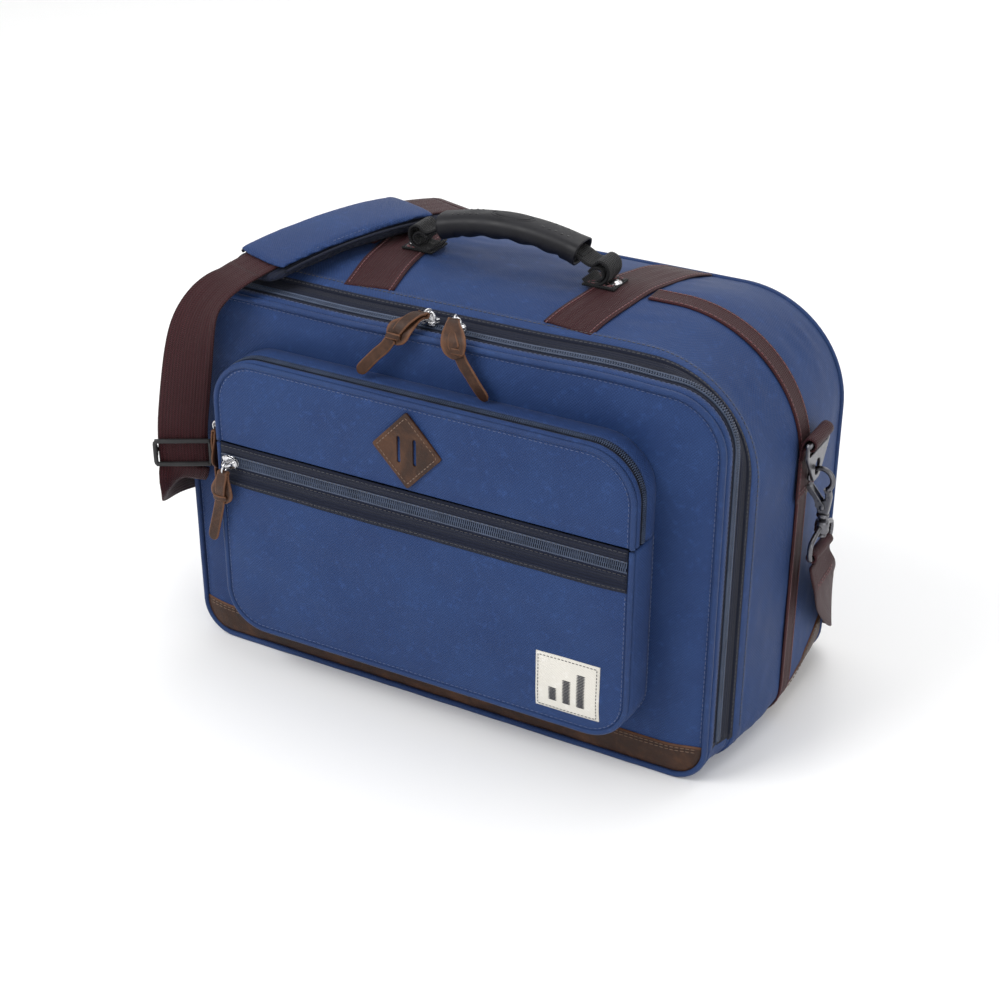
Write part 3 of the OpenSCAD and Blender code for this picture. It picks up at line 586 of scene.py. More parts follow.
def right_half(y, d, low=None):
    """Outline at depth y, inset by d, from the middle of the base up the right side to the middle of the top.
    With low set it starts on the side wall at that height. Points keep their places along it at every y."""
    counts = (26, 10, 34, 26, 34)
    w, h, r = half_w(y), height(y), top_r(y)
    parts = []
    if low is None:
        parts.append(np.column_stack([np.linspace(0, w - BASE_R, counts[0]),
                                      np.full(counts[0], float(d))])[:-1])
        parts.append(turn(w - BASE_R, BASE_R, BASE_R - d, -90, 0, counts[1])[:-1])
        low = BASE_R
    parts.append(np.column_stack([np.full(counts[2], w - d), np.linspace(low, h - r, counts[2])])[:-1])
    parts.append(turn(w - r, h - r, r - d, 0, 90, counts[3])[:-1])
    parts.append(np.column_stack([np.linspace(w - r, 0, counts[4]), np.full(counts[4], h - d)]))
    return np.vstack(parts)


def outline(y, d=0.0, low=None):
    """The whole outline: open from side to side if low is set, else a closed loop from the base's middle."""
    r = right_half(y, d, low)
    left = r[::-1] * [-1, 1]
    return np.vstack([r, left[1:]]) if low is not None else np.vstack([r, left[1:-1]])


def path3(y, d=0.0, low=None):
    """The same outline as points in space."""
    o = outline(y, d, low)
    return np.column_stack([o[:, 0], np.full(len(o), float(y)), o[:, 1]])


def arch(x):
    """The zip and the door's top edge aren't quite straight: a small rise to the right, a dip on the left."""
    return 2.2 * math.exp(-((x - 128) / 46) ** 2) - 1.6 * math.exp(-((x + 78) / 60) ** 2)


def arch_points(p):
    """Lifts the top part of points [x, y, z] by the zip's arch, fading out down the sides."""
    p = np.array(p, float)
    fade = np.clip((p[:, 2] - 215) / 75, 0, 1)
    front = np.clip((-p[:, 1] - 45) / 45, 0, 1)
    rise = np.array([arch(x) for x in p[:, 0]])
    p[:, 2] += rise * fade * front
    return p


FLOOR_GAP = 0.05  # mm kept between the lowest cloth and the ground


def ring_piece(name, section, low, mat, body, replaces=()):
    """Sweeps a closed section of (y, outward offset) points round the outline."""
    loops = [arch_points(path3(y, -o, low)) for y, o in section]
    for lp in loops:
        lp[:, 2] = np.maximum(lp[:, 2], FLOOR_GAP)
    n, m = len(loops[0]), len(section)
    s = lengths(loops[0])
    verts = np.array([loops[j][i] for i in range(n) for j in range(m)])
    across = lengths(np.array(section))
    uvs = [(across[j], s[i]) for i in range(n) for j in range(m)]
    closed = low is None
    faces = grid_faces(n, m, wrap_cols=True, wrap_rows=closed)
    if not closed:
        faces.append(tuple(range(m - 1, -1, -1)))
        faces.append(tuple((n - 1) * m + j for j in range(m)))
    obj = mesh_object(name, verts, faces, uvs)
    return finish_piece(obj, mat, body, replaces)


def bar_section(y0, y1, inner, outer, soft=0.5):
    """Section of a folded tape lying on the case, with soft edges."""
    return [(y0, inner), (y0, outer - soft), (y0 + soft, outer), ((y0 + y1) / 2, outer + 0.1),
            (y1 - soft, outer),
            (y1, outer - soft), (y1, inner), ((y0 + y1) / 2, inner)]


# ---------------------------------------------------------------- case shell
def shell_puff(p):
    """How far the cloth stands off its CAD surface: slack between the seams, drawn in beside them."""
    x, y, z = p
    seam = min(abs(y + BAND_Y), abs(SEAM_Y - y))
    draw = 1 - math.exp(-seam / 7)
    band = abs(abs(x) - (91 + 0.145 * y)) if z > 250 else 999
    band_draw = 1 - 0.5 * math.exp(-((band - 20) / 8) ** 2)
    girth = 1 - 0.75 * math.exp(-(y / 15) ** 2) if z < 300 or abs(x) > 110 else 1
    ridge = 0.55 * math.exp(-((y + 6 + 0.03 * x) / 3.6) ** 2) if z > 300 and abs(x) < 84 else 0
    return draw * band_draw * girth + ridge


def case_shell():
    """The walls, top and base in one cloth with a lining, and a turned edge at both ends."""
    ys = np.concatenate([np.linspace(-BAND_Y, -70, 5), np.linspace(-66, 80, 37),
                         np.linspace(83, SEAM_Y + 0.2, 4)])
    grid = np.array([path3(y) for y in ys])
    inner = np.array([path3(y, CLOTH_T) for y in ys])
    normal = unit(grid - np.array([path3(y, 6.0) for y in ys]))
    flat = grid.reshape(-1, 3)
    slow = ripple(flat, 0.016, 11.0) * 1.5 + ripple(flat, 0.04, 2.0) * 0.8
    # short creases run across the case beside the seams
    crease = np.array([math.sin(p[1] * 0.35 + 3 * noise.noise(Vector(p * 0.02)))
                       * noise.noise(Vector((p[0] * 0.03, 4, p[2] * 0.03))) for p in flat]) * 0.6
    stand_off = np.array([shell_puff(p) for p in flat]) * (slow + crease + 0.35)
    stand_off *= np.clip((flat[:, 2] - 3) / 14, 0, 1)
    outer = arch_points(flat + normal.reshape(-1, 3) * stand_off[:, None]).reshape(grid.shape)
    outer[:, :, 2] = np.maximum(outer[:, :, 2], 0.0)
    rows, cols = outer.shape[:2]
    base = rows * cols
    around = lengths(outer[rows // 2])
    uv = np.array([(around[j], y - ys[0]) for y in ys for j in range(cols)])
    top_faces = [f[::-1] for f in grid_faces(rows, cols, wrap_cols=True)]
    in_faces = grid_faces(rows, cols, wrap_cols=True, base=base)
    rims = []
    for row, way in ((0, 1), ((rows - 1) * cols, -1)):
        for j in range(cols):
            a, b = row + j, row + (j + 1) % cols
            rims.append((a, b, b + base, a + base)[::way])
    picks = [0] * len(top_faces) + [1] * len(in_faces) + [0] * len(rims)
    verts = np.vstack([outer.reshape(-1, 3), inner.reshape(-1, 3)])
    case = mesh_object("case_shell", verts, top_faces + in_faces + rims, np.vstack([uv, uv]), picks=picks)
    finish_piece(case, (BLUE, LINING), "case", ("gusset_left", "gusset_right", "gusset_top", "base_panel"))


case_shell()


def surface(x, y):
    """The point on the case's top at (x, y) and its normal."""
    w, h, r = half_w(y), height(y), top_r(y)
    ax = abs(x)
    if ax <= w - r:
        z = h
        n = np.array([0, 0, 1.0])
    else:
        c = min(1, (ax - (w - r)) / r)
        a = math.asin(c)
        n = np.array([math.copysign(math.sin(a), x), 0, math.cos(a)])
        z = h - r + r * math.cos(a)
    return np.array([x, y, z]), n


def rear_dome():
    """Rear panel: a soft dome drawn in behind its piped seam, and its lining."""
    angles = np.linspace(0, math.pi / 2, 9)
    dome_rows = [(SEAM_Y + 0.4 + DOME * math.sin(a), 20 * (1 - math.cos(a))) for a in angles]
    loops = [path3(SEAM_Y, d) * [1, 0, 1] + [0, y, 0] for y, d in dome_rows]
    centre = np.array([0, 0, MID_Z])
    for shrink in np.linspace(0.93, 0.0, 26):
        loop = centre + (loops[8] * [1, 0, 1] - centre) * max(shrink, 0.004)
        loop[:, 1] = dome_rows[-1][0]
        loops.append(loop)
    dome = np.array(loops)
    flat = dome.reshape(-1, 3)
    inset = np.clip(1 - np.maximum(np.abs(flat[:, 0]) / 215, np.abs(flat[:, 2] - MID_Z) / MID_Z), 0, 1)
    push = np.clip((flat[:, 1] - SEAM_Y) / 18, 0, 1)
    slack = 1.0 * ripple(flat, 0.013, 8) + 0.7 * ripple(flat, 0.035, 5)
    flat[:, 1] += push * slack + 2.2 * (1 - np.exp(-inset * 5)) - 0.5
    flat[:, 0] += push * (1 - inset) * 0.9 * ripple(flat, 0.03, 1)
    back = dome[[*range(0, len(dome) - 1, 3), len(dome) - 1]].copy()
    back[..., 0] *= 0.984
    back[..., 1] = np.maximum(back[..., 1] - 3.6, SEAM_Y + 0.4)
    back[..., 2] = MID_Z + (back[..., 2] - MID_Z) * 0.98
    (k, m), kb = dome.shape[:2], len(back)
    base = k * m
    verts = np.vstack([flat, back.reshape(-1, 3)])
    faces = [f[::-1] for f in grid_faces(k, m, wrap_cols=True)]
    inside = grid_faces(kb, m, wrap_cols=True, base=base)
    rim = [(j, (j + 1) % m, base + (j + 1) % m, base + j) for j in range(m)]
    cap = [tuple((k - 1) * m + j for j in range(m)), tuple(base + (kb - 1) * m + j
                                                           for j in range(m - 1, -1, -1))]
    rear = mesh_object("rear_panel_cloth", verts, faces + inside + rim + cap, verts[:, [0, 2]],
                       picks=[0] * len(faces) + [1] * len(inside) + [0] * len(rim) + [0, 1])
    fix_normals(rear)
    finish_piece(rear, (BLUE, LINING), "case", ("rear_panel",))
    path = path3(SEAM_Y + 0.6, -0.2)
    path[:, 2] = np.maximum(path[:, 2], 2.1)
    finish_piece(tube("rear_seam_piping", path, 2.1, 10, closed=True), PIPING, "case")


rear_dome()


# ---------------------------------------------------------------- main zip
ZIP_FOOT = 30.0  # height where both ends of the door's zip stop
for piece, section, rise, mat, body, node in (
        ("zip_binding_tape", bar_section(-BAND_Y + 0.2, -78.2, -0.8, 0.9), -6, NAVY, "case",
         ("zip_binding",)),
        ("case_front_hem", bar_section(-79.4, -68, -1.4, 1.3, 0.7), None, BLUE, "case", ()),
        ("body_side_zip_tape", bar_section(-96.6, -83.6, -1.3, 0.15, 0.3), -4, NAVY, "case",
         ("body_zip_tape",)),
        ("door_side_zip_tape", bar_section(-104, -97.3, -1.3, 0.1, 0.3), -3, NAVY, "door",
         ("door_zip_tape",)),
        ("door_edge_band", [(-110.2, -3), (-110.2, -0.6), (-108.8, 0.5), (-107, 0.8), (-104.9, 0.6),
                            (-104, -0.2), (-104, -3)], -3, BLUE, "door", ("door_gusset",))):
    ring_piece(piece, section, None if rise is None else ZIP_FOOT + rise, mat, body, node)


def corner_skirt():
    """Cloth round the two bottom front corners, under the ends of the zip."""
    parts = []
    for side in (1, -1):
        cols = []
        for y in np.linspace(-110, -BAND_Y + 0.3, 12):
            w = half_w(y)
            a = np.radians(np.linspace(-90, 0, 12))
            low = np.column_stack([np.linspace(180, w - BASE_R, 5), np.zeros(5)])[:-1]
            cnr = np.column_stack([w - BASE_R + BASE_R * np.cos(a), BASE_R + BASE_R * np.sin(a)])
            cols.append([(side * x, y, z + 0.02) for x, z in np.vstack([low, cnr])])
        face = np.array(cols)
        back = face + [-side * 3, 0, 2.4]
        parts.append(sheet("corner", face, back, face[..., [1, 2]], flip=side < 0))
    return join("front_corner_cloth", parts)


finish_piece(corner_skirt(), BLUE, "case", ("front_corners",))


def even(path, pitch, phase):
    """Places at an even pitch along path, and its direction there."""
    s = lengths(path)
    want = np.arange(phase, s[-1], pitch)
    pos = np.column_stack([np.interp(want, s, path[:, k]) for k in range(3)])
    t = tangents(path)
    dirs = unit(np.column_stack([np.interp(want, s, t[:, k]) for k in range(3)]))
    return pos, dirs


def coil_row(name, path, toward, pitch, phase, body, replaces, size):
    """One side of a zip's coil: teeth along path that reach along toward."""
    pos, dirs = even(path, pitch, phase)
    toward = np.array(toward, float) * np.ones((len(pos), 3))
    finish_piece(blobs(name, pos, toward, dirs, size), TEETH, body, replaces)


main_path = arch_points(path3(-ZIP_Y, -1.1, ZIP_FOOT))
# name, body, how far the teeth stand off the zip's middle, where the first tooth sits, and the cord's depth
ZIP_SIDES = (("body", "case", 1.4, 0.0, -94.6), ("door", "door", -1.4, 0.95, -99.4))
for side, home, off, phase, _ in ZIP_SIDES:
    coil_row(side + "_zip_teeth", main_path + [0, off, 0], (0, 1, 0), 1.9, phase, home,
             (side + "_zip_coil",), (1.9, 0.55, 0.9))
for side, home, _, _, cord_y in ZIP_SIDES:
    finish_piece(tube(side + "_zip_cord", arch_points(path3(cord_y, -0.75, ZIP_FOOT)), 0.75, 8), TEETH, home)

seam_runs = []
for seam_y in (-71.6, -82.4):
    p = arch_points(path3(seam_y, -1.6, ZIP_FOOT))
    seam_runs.append((p, unit(p - path3(seam_y, 4.0, ZIP_FOOT))))
sew("binding_stitches", seam_runs, 3.6, (1.25, 0.3, 0.25), DARK_THREAD, "case")
p = arch_points(path3(-105.3, -0.75, ZIP_FOOT))
sew("door_edge_stitches", [(p, unit(p - path3(-105.3, 5.0, ZIP_FOOT)))], 3.8, (1.3, 0.3, 0.25), BLUE_THREAD,
    "door")


# ---------------------------------------------------------------- webbing on the case
def band_x(y):
    return 71 + 0.145 * y


def on_top(x, y, out):
    q, n = surface(x, y)
    return arch_points([q + n * out])[0]


def top_bands():
    parts, runs = [], []
    for side in (1, -1):
        yy = np.linspace(-70.5, SEAM_Y - 1, 52)
        mid = np.array([on_top(side * (band_x(y) + 20), y, 1.35) for y in yy])
        wave = np.array([0.35 * math.sin(y * 0.11 + side) for y in yy])
        mid[:, 2] += wave
        parts.append(strip("band", mid, (side, 0, 0), 20, 1.5, 9))
        for edge in (-17.2, 17.2):
            runs.append((mid + [side * edge, 0, 0.8], (0, 0, 1)))
        # box and cross of stitching that holds the handle's anchor
        z = mid[np.argmin(abs(yy))][2] + 3.2
        x0 = side * band_x(0)
        a, b = x0 - side * 6.5, x0 + side * 14.0
        for q in (((a, -10), (b, -10)), ((b, -10), (b, 10)), ((b, 10), (a, 10)), ((a, 10), (a, -10)),
                  ((a, -10), (b, 10)), ((a, 10), (b, -10))):
            runs.append((np.array([(q[0][0], q[0][1], z), (q[1][0], q[1][1], z)]), (0, 0, 1)))
    finish_piece(join("top_webbing_bands", parts), MAROON, "case", ("top_webbing",))
    sew("top_webbing_stitches", runs, 3.8, (1.45, 0.42, 0.35), MAROON_THREAD, "case")


top_bands()


def side_strip(name, side):
    """Girth band from under the base, up the side and over the corner to the top band."""
    o = right_half(0, -1.25, None)
    o = o[(o[:, 0] > 215.5) | (o[:, 1] > 100)]
    o = o[o[:, 0] > band_x(0) + 40.5]
    low = turn(SIDE_X - BASE_R, BASE_R, BASE_R + 0.9, -58, -2, 8)
    o = np.vstack([low, o[o[:, 1] > BASE_R]])
    path = np.column_stack([side * o[:, 0], np.zeros(len(o)), o[:, 1]])
    path = smooth_path(path, 4.0)
    obj = strip(name, path, (0, -side, 0), 10, 1.5, 7)
    finish_piece(obj, MAROON, "case", ("girth_webbing_" + ("right" if side > 0 else "left"),))
    t = tangents(path)
    nrm = unit(np.cross((0, -side, 0), t)) * np.ones((len(path), 3))
    if nrm[len(nrm) // 2][0] * side < 0:
        nrm = -nrm
    return [(path + nrm * 0.85 + [0, e, 0], nrm) for e in (-7.8, 7.8)]


girth_runs = side_strip("girth_band_right", 1) + side_strip("girth_band_left", -1)
sew("girth_band_stitches", girth_runs, 3.8, (1.45, 0.4, 0.33), MAROON_THREAD, "case")


def boots():
    """Leather wrapped round the rear bottom corners and over the rear seam."""
    parts, runs = [], []
    for side in (1, -1):
        grid_rows = []
        depths = np.concatenate([np.linspace(11.5, SEAM_Y, 22),
                                 SEAM_Y + DOME * np.sin(np.linspace(0.15, 1.45, 8))])
        for y in depths:
            back = max(0.0, (y - SEAM_Y) / DOME)
            inset = 20 * (1 - math.cos(math.asin(min(1, back)))) if back > 0 else 0
            top = 15 + 30 * (min(y, SEAM_Y) - 10) / 78 + 3.0 * back
            w = half_w(min(y, SEAM_Y))
            r = BASE_R + 1.1 - inset
            if top > BASE_R:
                wall_z = np.linspace(BASE_R, max(BASE_R + 0.5, top), 6)
                o = np.vstack([turn(w - BASE_R, BASE_R, r, -62, 0, 12)[:-1],
                               np.column_stack([np.full(6, w + 1.1 - inset), wall_z])])
            else:
                o = turn(w - BASE_R, BASE_R, r, -62,
                         -math.degrees(math.asin(max(0, (BASE_R - top) / BASE_R))), 17)
            grid_rows.append([(side * x, y, max(z, 0.4)) for x, z in o])
        g = np.array(grid_rows)
        edge = np.zeros(g.shape[:2])
        edge[:, -1] = 1
        edge[0, :] = 1
        parts.append(sheet("boot", g, g + [-side * 1.6, 0, 0.3], g[..., [1, 2]], flip=side < 0, edge=edge))
        line = g[1:, -2] + [side * 0.5, 0, -1.0]
        runs.append((line, (side, 0, 0)))
    finish_piece(join("rear_leather_boots", parts), LEATHER, "case", ("rear_leather_trim",))
    sew("rear_leather_stitches", runs, 4.0, (1.4, 0.36, 0.4), BROWN_THREAD, "case")


boots()


# ---------------------------------------------------------------- flat cloth panels
def rounded_half(z, half, low, high, r_low, r_high):
    """Half width of a rounded rectangle at height z."""
    if z < low + r_low:
        q = min(1, (low + r_low - z) / r_low)
        return half - r_low + r_low * math.sqrt(max(0, 1 - q * q))
    if z > high - r_high:
        q = min(1, (z - high + r_high) / r_high)
        return half - r_high + r_high * math.sqrt(max(0, 1 - q * q))
    return half


def sdf(x, z, half, low, high, r_low, r_high):
    """Distance inside a rounded rectangle, from its edge."""
    r = r_high if z > (low + high) / 2 else r_low
    cz = (low + high) / 2
    dx, dz = abs(x) - (half - r), abs(z - cz) - ((high - low) / 2 - r)
    return r - (math.hypot(max(dx, 0), max(dz, 0)) + min(max(dx, dz), 0))


def panel(name, rect, z0, z1, front, thick, nx, nz, body, replaces, arched=False):
    """Lined cloth that fills rounded rectangle rect between heights z0 and z1. front(x, z) is its outer y."""
    t = np.linspace(0, 1, nz)
    whole = z0 <= rect[1] + 1 or z1 >= rect[2] - 1
    zs = z0 + (z1 - z0) * (0.5 - 0.5 * np.cos(math.pi * t) if whole else t)
    us = np.linspace(-1, 1, nx)
    us = np.sign(us) * (1 - (1 - np.abs(us)) ** 1.12)
    face = []
    for z in zs:
        w = rounded_half(z, *rect)
        face.append([(u * w, front(u * w, z), z) for u in us])
    face = np.array(face)
    back = face + [0, thick, 0]
    if arched:
        face = arch_points(face.reshape(-1, 3)).reshape(face.shape)
    obj = sheet(name, face, back, face[..., [0, 2]], lined=True)
    finish_piece(obj, (BLUE, LINING), body, replaces)


# ---------------------------------------------------------------- door
DOOR_RECT = (DOOR_W / 2 - 3.4, 4.2, DOOR_H - 3.4, BASE_R - 3.4, DOOR_R - 3.4)
POCKET_RECT = (POCKET_HALF, POCKET_LOW, POCKET_HIGH, POCKET_LOW_R, POCKET_TOP_R)


def door_front(x, z):
    d = sdf(x, z, *DOOR_RECT)
    q = sdf(x, z, *POCKET_RECT)
    puff = 3.0 * (1 - math.exp(-max(d, 0) / 9)) - 0.8
    near_pocket = math.exp(-max(-q, 0) / 9)
    ease = 1 - math.exp(-max(d, 0) / 16)
    slack = (noise.noise(Vector((x * 0.017, 3, z * 0.02))) * 1.6
             + noise.noise(Vector((x * 0.05, 7, z * 0.05))) * 0.6)
    ends = math.sin((x + z) * 0.09 + 2 * noise.noise(Vector((x * 0.01, 1, z * 0.01)))) * 0.35
    pucker = 0.35 * math.sin((x if abs(z - 150) > 130 else z) * 0.62) * math.exp(-max(d, 0) / 5)
    top_pull = 0.9 * math.exp(-((z - 283) / 7) ** 2) * math.sin(x * 0.045)
    return -FACE_Y - (puff * (1 - 0.55 * near_pocket) + (slack + ends) * ease * (1 - near_pocket) + pucker
                      * ease + top_pull * ease)


panel("door_cloth", DOOR_RECT, 4.4, DOOR_H - 3.6, door_front, CLOTH_T, 150, 104, "door", ("door_panel",),
      True)


def door_cord():
    """Piping round the door and the row of stitches inside it, which ends at the leather strip."""
    p = arch_points([(x, -FACE_Y - 0.2, z + 0.15) for x, z in outline(-FACE_Y, 2.2)])
    p[:, 1] += 0.35 * ripple(p, 0.04, 9)
    p = smooth_path(p, 3.2, closed=True)[:-1]
    finish_piece(tube("door_edge_piping", p, 2.25, 12, closed=True), PIPING, "door", ("door_piping",))
    q = arch_points([(x, door_front(x, z) - 0.1, z) for x, z in outline(-FACE_Y, 5.9)])
    row = [(q[q[:, 2] > 31], (0, -1, 0))]
    sew("door_panel_stitches", row, 3.9, (1.35, 0.33, 0.25), BLUE_THREAD, "door")


door_cord()


def strip_top(x):
    return 29.0 + 3.2 * math.exp(-((abs(x) - 216) / 22) ** 2) + 0.5 * math.sin(x * 0.02)


def leather_front(x, z):
    return door_front(x, z) - 1.3 - 0.25 * noise.noise(Vector((x * 0.06, 2, z * 0.06)))


def leather_strip():
    """Leather along the foot of the door with a waved upper edge and two rows of stitches."""
    rect = (DOOR_RECT[0] - 0.2, DOOR_RECT[1] + 0.3, *DOOR_RECT[2:])
    rows, foot = 14, 5.2
    face = []
    for i in range(rows):
        row = []
        turned = 0.5 if i in (0, rows - 1) else 0
        for u in np.linspace(-1, 1, 130):
            z = foot + (strip_top(u * 216) - foot) * i / (rows - 1)
            x = u * rounded_half(z, *rect)
            row.append((x, leather_front(x, z) + turned, z))
        face.append(row)
    face = np.array(face)
    edge = np.zeros(face.shape[:2])
    edge[-1] = 1
    obj = sheet("door_leather_strip", face, face + [0, 1.5, 0], face[..., [0, 2]], edge=edge)
    finish_piece(obj, LEATHER, "door", ("door_leather_trim",))
    runs = []
    for drop in (2.2, 4.6):
        line = [(x, leather_front(x, strip_top(x) - drop) - 0.15, strip_top(x) - drop)
                for x in np.linspace(-212, 212, 160)]
        runs.append((line, (0, -1, 0)))
    sew("door_leather_stitches", runs, 4.0, (1.4, 0.36, 0.3), BROWN_THREAD, "door")


leather_strip()


# ---------------------------------------------------------------- pocket
def pocket_puff(x, z):
    """How far the pocket's cloth is free of its edge, 0 to 1."""
    return 1 - math.exp(-max(sdf(x, z, *POCKET_RECT) - 3, 0) / 12)


def pocket_front_y(x, z):
    e = pocket_puff(x, z)
    sag = 2.6 * e * (0.55 + 0.45
                     * math.cos((z - 105) / 95)) if z < 170 else 2.2 * e * math.exp(-((z - 170) / 30) ** 2)
    slack = (noise.noise(Vector((x * 0.015, 21, z * 0.022))) * 1.5
             + noise.noise(Vector((x * 0.045, 33, z * 0.05))) * 0.55)
    fold = 0.5 * math.sin(x * 0.05 + z * 0.11) * noise.noise(Vector((x * 0.012, 5, z * 0.012)))
    near_zip = 1 - math.exp(-((z - SLASH_Z) / 14) ** 2)
    pucker = 0.3 * math.sin((x if z < 60 else z) * 0.6) * math.exp(-max(sdf(x, z, *POCKET_RECT) - 3, 0) / 5)
    return -POCKET_FACE + 0.4 - sag * near_zip - (slack + fold) * e * near_zip + pucker * e


def flap_front_y(x, z):
    e = pocket_puff(x, z) * (1 - 0.75 * math.exp(-((z - FOLD_Z) / 9) ** 2))
    slack = (noise.noise(Vector((x * 0.017, 41, z * 0.03))) * 1.1
             + noise.noise(Vector((x * 0.05, 13, z * 0.06))) * 0.5)
    return -POCKET_FACE + 0.4 - e * (1.7 + slack)


IN_RECT = (POCKET_HALF - 3.6, POCKET_LOW + 3.6, POCKET_HIGH - 3.6, POCKET_LOW_R - 3.6, POCKET_TOP_R - 3.6)
panel("pocket_front_cloth", IN_RECT, POCKET_LOW + 3.9, SLASH_Z - 1.6, pocket_front_y, 2.6, 130, 60, "door",
      ("pocket_front",))
panel("pocket_flap_cloth", IN_RECT, FOLD_Z + 1.0, POCKET_HIGH - 3.8, flap_front_y, 2.6, 130, 34,
      "pocket_flap",
      ("flap_panel",))


def pocket_edge(half, low, high, r_low, r_high, z_from=None, z_to=None, inset=0.0, n=16):
    """Path round the pocket's outline, inset, either its lower part (z_to) or its upper part (z_from)."""
    h, lo, hi, rl, rh = half - inset, low + inset, high - inset, r_low - inset, r_high - inset
    if z_to is not None:
        r = np.vstack([np.column_stack([np.linspace(0, h - rl, 60), np.full(60, lo)])[:-1],
                       turn(h - rl, lo + rl, rl, -90, 0, n)[:-1],
                       np.column_stack([np.full(40, h), np.linspace(lo + rl, z_to, 40)])])
        return np.vstack([(r * [-1, 1])[::-1], r[1:]])
    r = np.vstack([np.column_stack([np.full(12, h), np.linspace(z_from, hi - rh, 12)])[:-1],
                   turn(h - rh, hi - rh, rh, 0, 90, n)[:-1],
                   np.column_stack([np.linspace(h - rh, 0, 60), np.full(60, hi)])])
    return np.vstack([r, (r[::-1] * [-1, 1])[1:]])


def pocket_band(name, y0, y1, body, replaces, mat=BLUE, z_from=None, z_to=None, thick=2.2, belly=1.0, rows=8,
                sunk=0.0):
    """Side wall of the pocket between two depths, a little full between its seams."""
    ends = {"z_from": z_from, "z_to": z_to}
    ys = np.linspace(y0, y1, rows)
    swell = belly * np.sin(math.pi * np.linspace(0, 1, rows))
    face = np.array([[(x, y, z) for x, z in pocket_edge(*POCKET_RECT, inset=sunk - b, **ends)]
                     for y, b in zip(ys, swell)])
    back = np.array([[(x, y, z) for x, z in pocket_edge(*POCKET_RECT, inset=thick + sunk, **ends)]
                     for y in ys])
    flat = face.reshape(-1, 3)
    around = lengths(face[rows // 2])
    lump = 0.5 * belly * ripple(flat, 0.05, 17) * np.sin(math.pi * (flat[:, 1] - y0) / (y1 - y0))
    flat += unit((flat - [0, 0, MID_Z]) * [1, 0, 1]) * lump[:, None]
    uv = [(a, y) for y in ys for a in around]
    obj = sheet(name, face, back, uv, flip=True)
    fix_normals(obj)
    finish_piece(obj, mat, body, replaces)


TAPE_HALF = 4.6
LOWER, UPPER = {"z_to": FOLD_Z - 1}, {"z_from": FOLD_Z - 1}
FLAP = {"z_from": FOLD_Z + 1}
TAPE = {"mat": NAVY, "thick": 1.5, "belly": 0.0, "rows": 3, "sunk": 0.5}
pocket_band("pocket_side_cloth", -141.6, -FACE_Y - 0.2, "door", ("pocket_gusset_lower",), **LOWER, belly=1.2)
pocket_band("pocket_upper_cloth", -POCKET_ZIP + TAPE_HALF, -FACE_Y - 0.2, "door", ("pocket_gusset_upper",),
            **UPPER, belly=0.9)
pocket_band("flap_side_cloth", -141.6, -POCKET_ZIP - TAPE_HALF, "pocket_flap", ("flap_gusset",),
            **FLAP, belly=0.5, rows=5)
pocket_band("pocket_zip_tape_back", -POCKET_ZIP + 0.4, -POCKET_ZIP + TAPE_HALF + 0.4, "door", (),
            **UPPER, **TAPE)
pocket_band("pocket_zip_tape_front", -POCKET_ZIP - TAPE_HALF - 0.4, -POCKET_ZIP - 0.4, "pocket_flap", (),
            **FLAP, **TAPE)
zip_path = np.array([(x, -POCKET_ZIP, z) for x, z in pocket_edge(*POCKET_RECT, **FLAP, inset=-0.3)])
for word, sign, phase, body in (("back", 1, 0.0, "door"), ("front", -1, 0.8, "pocket_flap")):
    coil_row("pocket_zip_teeth_" + word, zip_path + [0, 1.3 * sign, 0], (0, 1, 0), 1.6, phase, body, (),
             (1.8, 0.48, 0.8))


def pocket_cords():
    """Piping round the pocket and the flap, and the stitches beside it."""
    for word, ends, body, node, front in (
            ("pocket", {"z_to": FOLD_Z - 1.5}, "door", "pocket_piping_lower", pocket_front_y),
            ("flap", {"z_from": FOLD_Z + 0.8}, "pocket_flap", "flap_piping", flap_front_y)):
        p = np.array([(x, -POCKET_FACE + 0.7, z) for x, z in pocket_edge(*POCKET_RECT, inset=2.0, **ends)])
        p[:, 1] += 0.25 * ripple(p, 0.05, 4)
        cord = tube(word + "_edge_piping", smooth_path(p, 3.0), 2.05, 12)
        finish_piece(cord, PIPING, body, (node,))
        q = np.array([(x, front(x, z) - 0.1, z) for x, z in pocket_edge(*POCKET_RECT, inset=5.4, **ends)])
        if body == "door":
            q = q[(q[:, 2] < SLASH_Z - 21) | (np.abs(q[:, 0]) < 100)]
        row = [(q, (0, -1, 0))]
        sew(word + "_edge_stitches", row, 3.9, (1.3, 0.33, 0.25), BLUE_THREAD, body)
    q = np.array([(x, -FACE_Y - 3.4, z) for x, z in pocket_edge(*POCKET_RECT, **LOWER, inset=-1.0)])
    row = [(q, unit((q - [0, 0, MID_Z]) * [1, 0, 1]))]
    sew("pocket_base_stitches", row, 3.9, (1.3, 0.33, 0.3), BLUE_THREAD, "door")


pocket_cords()


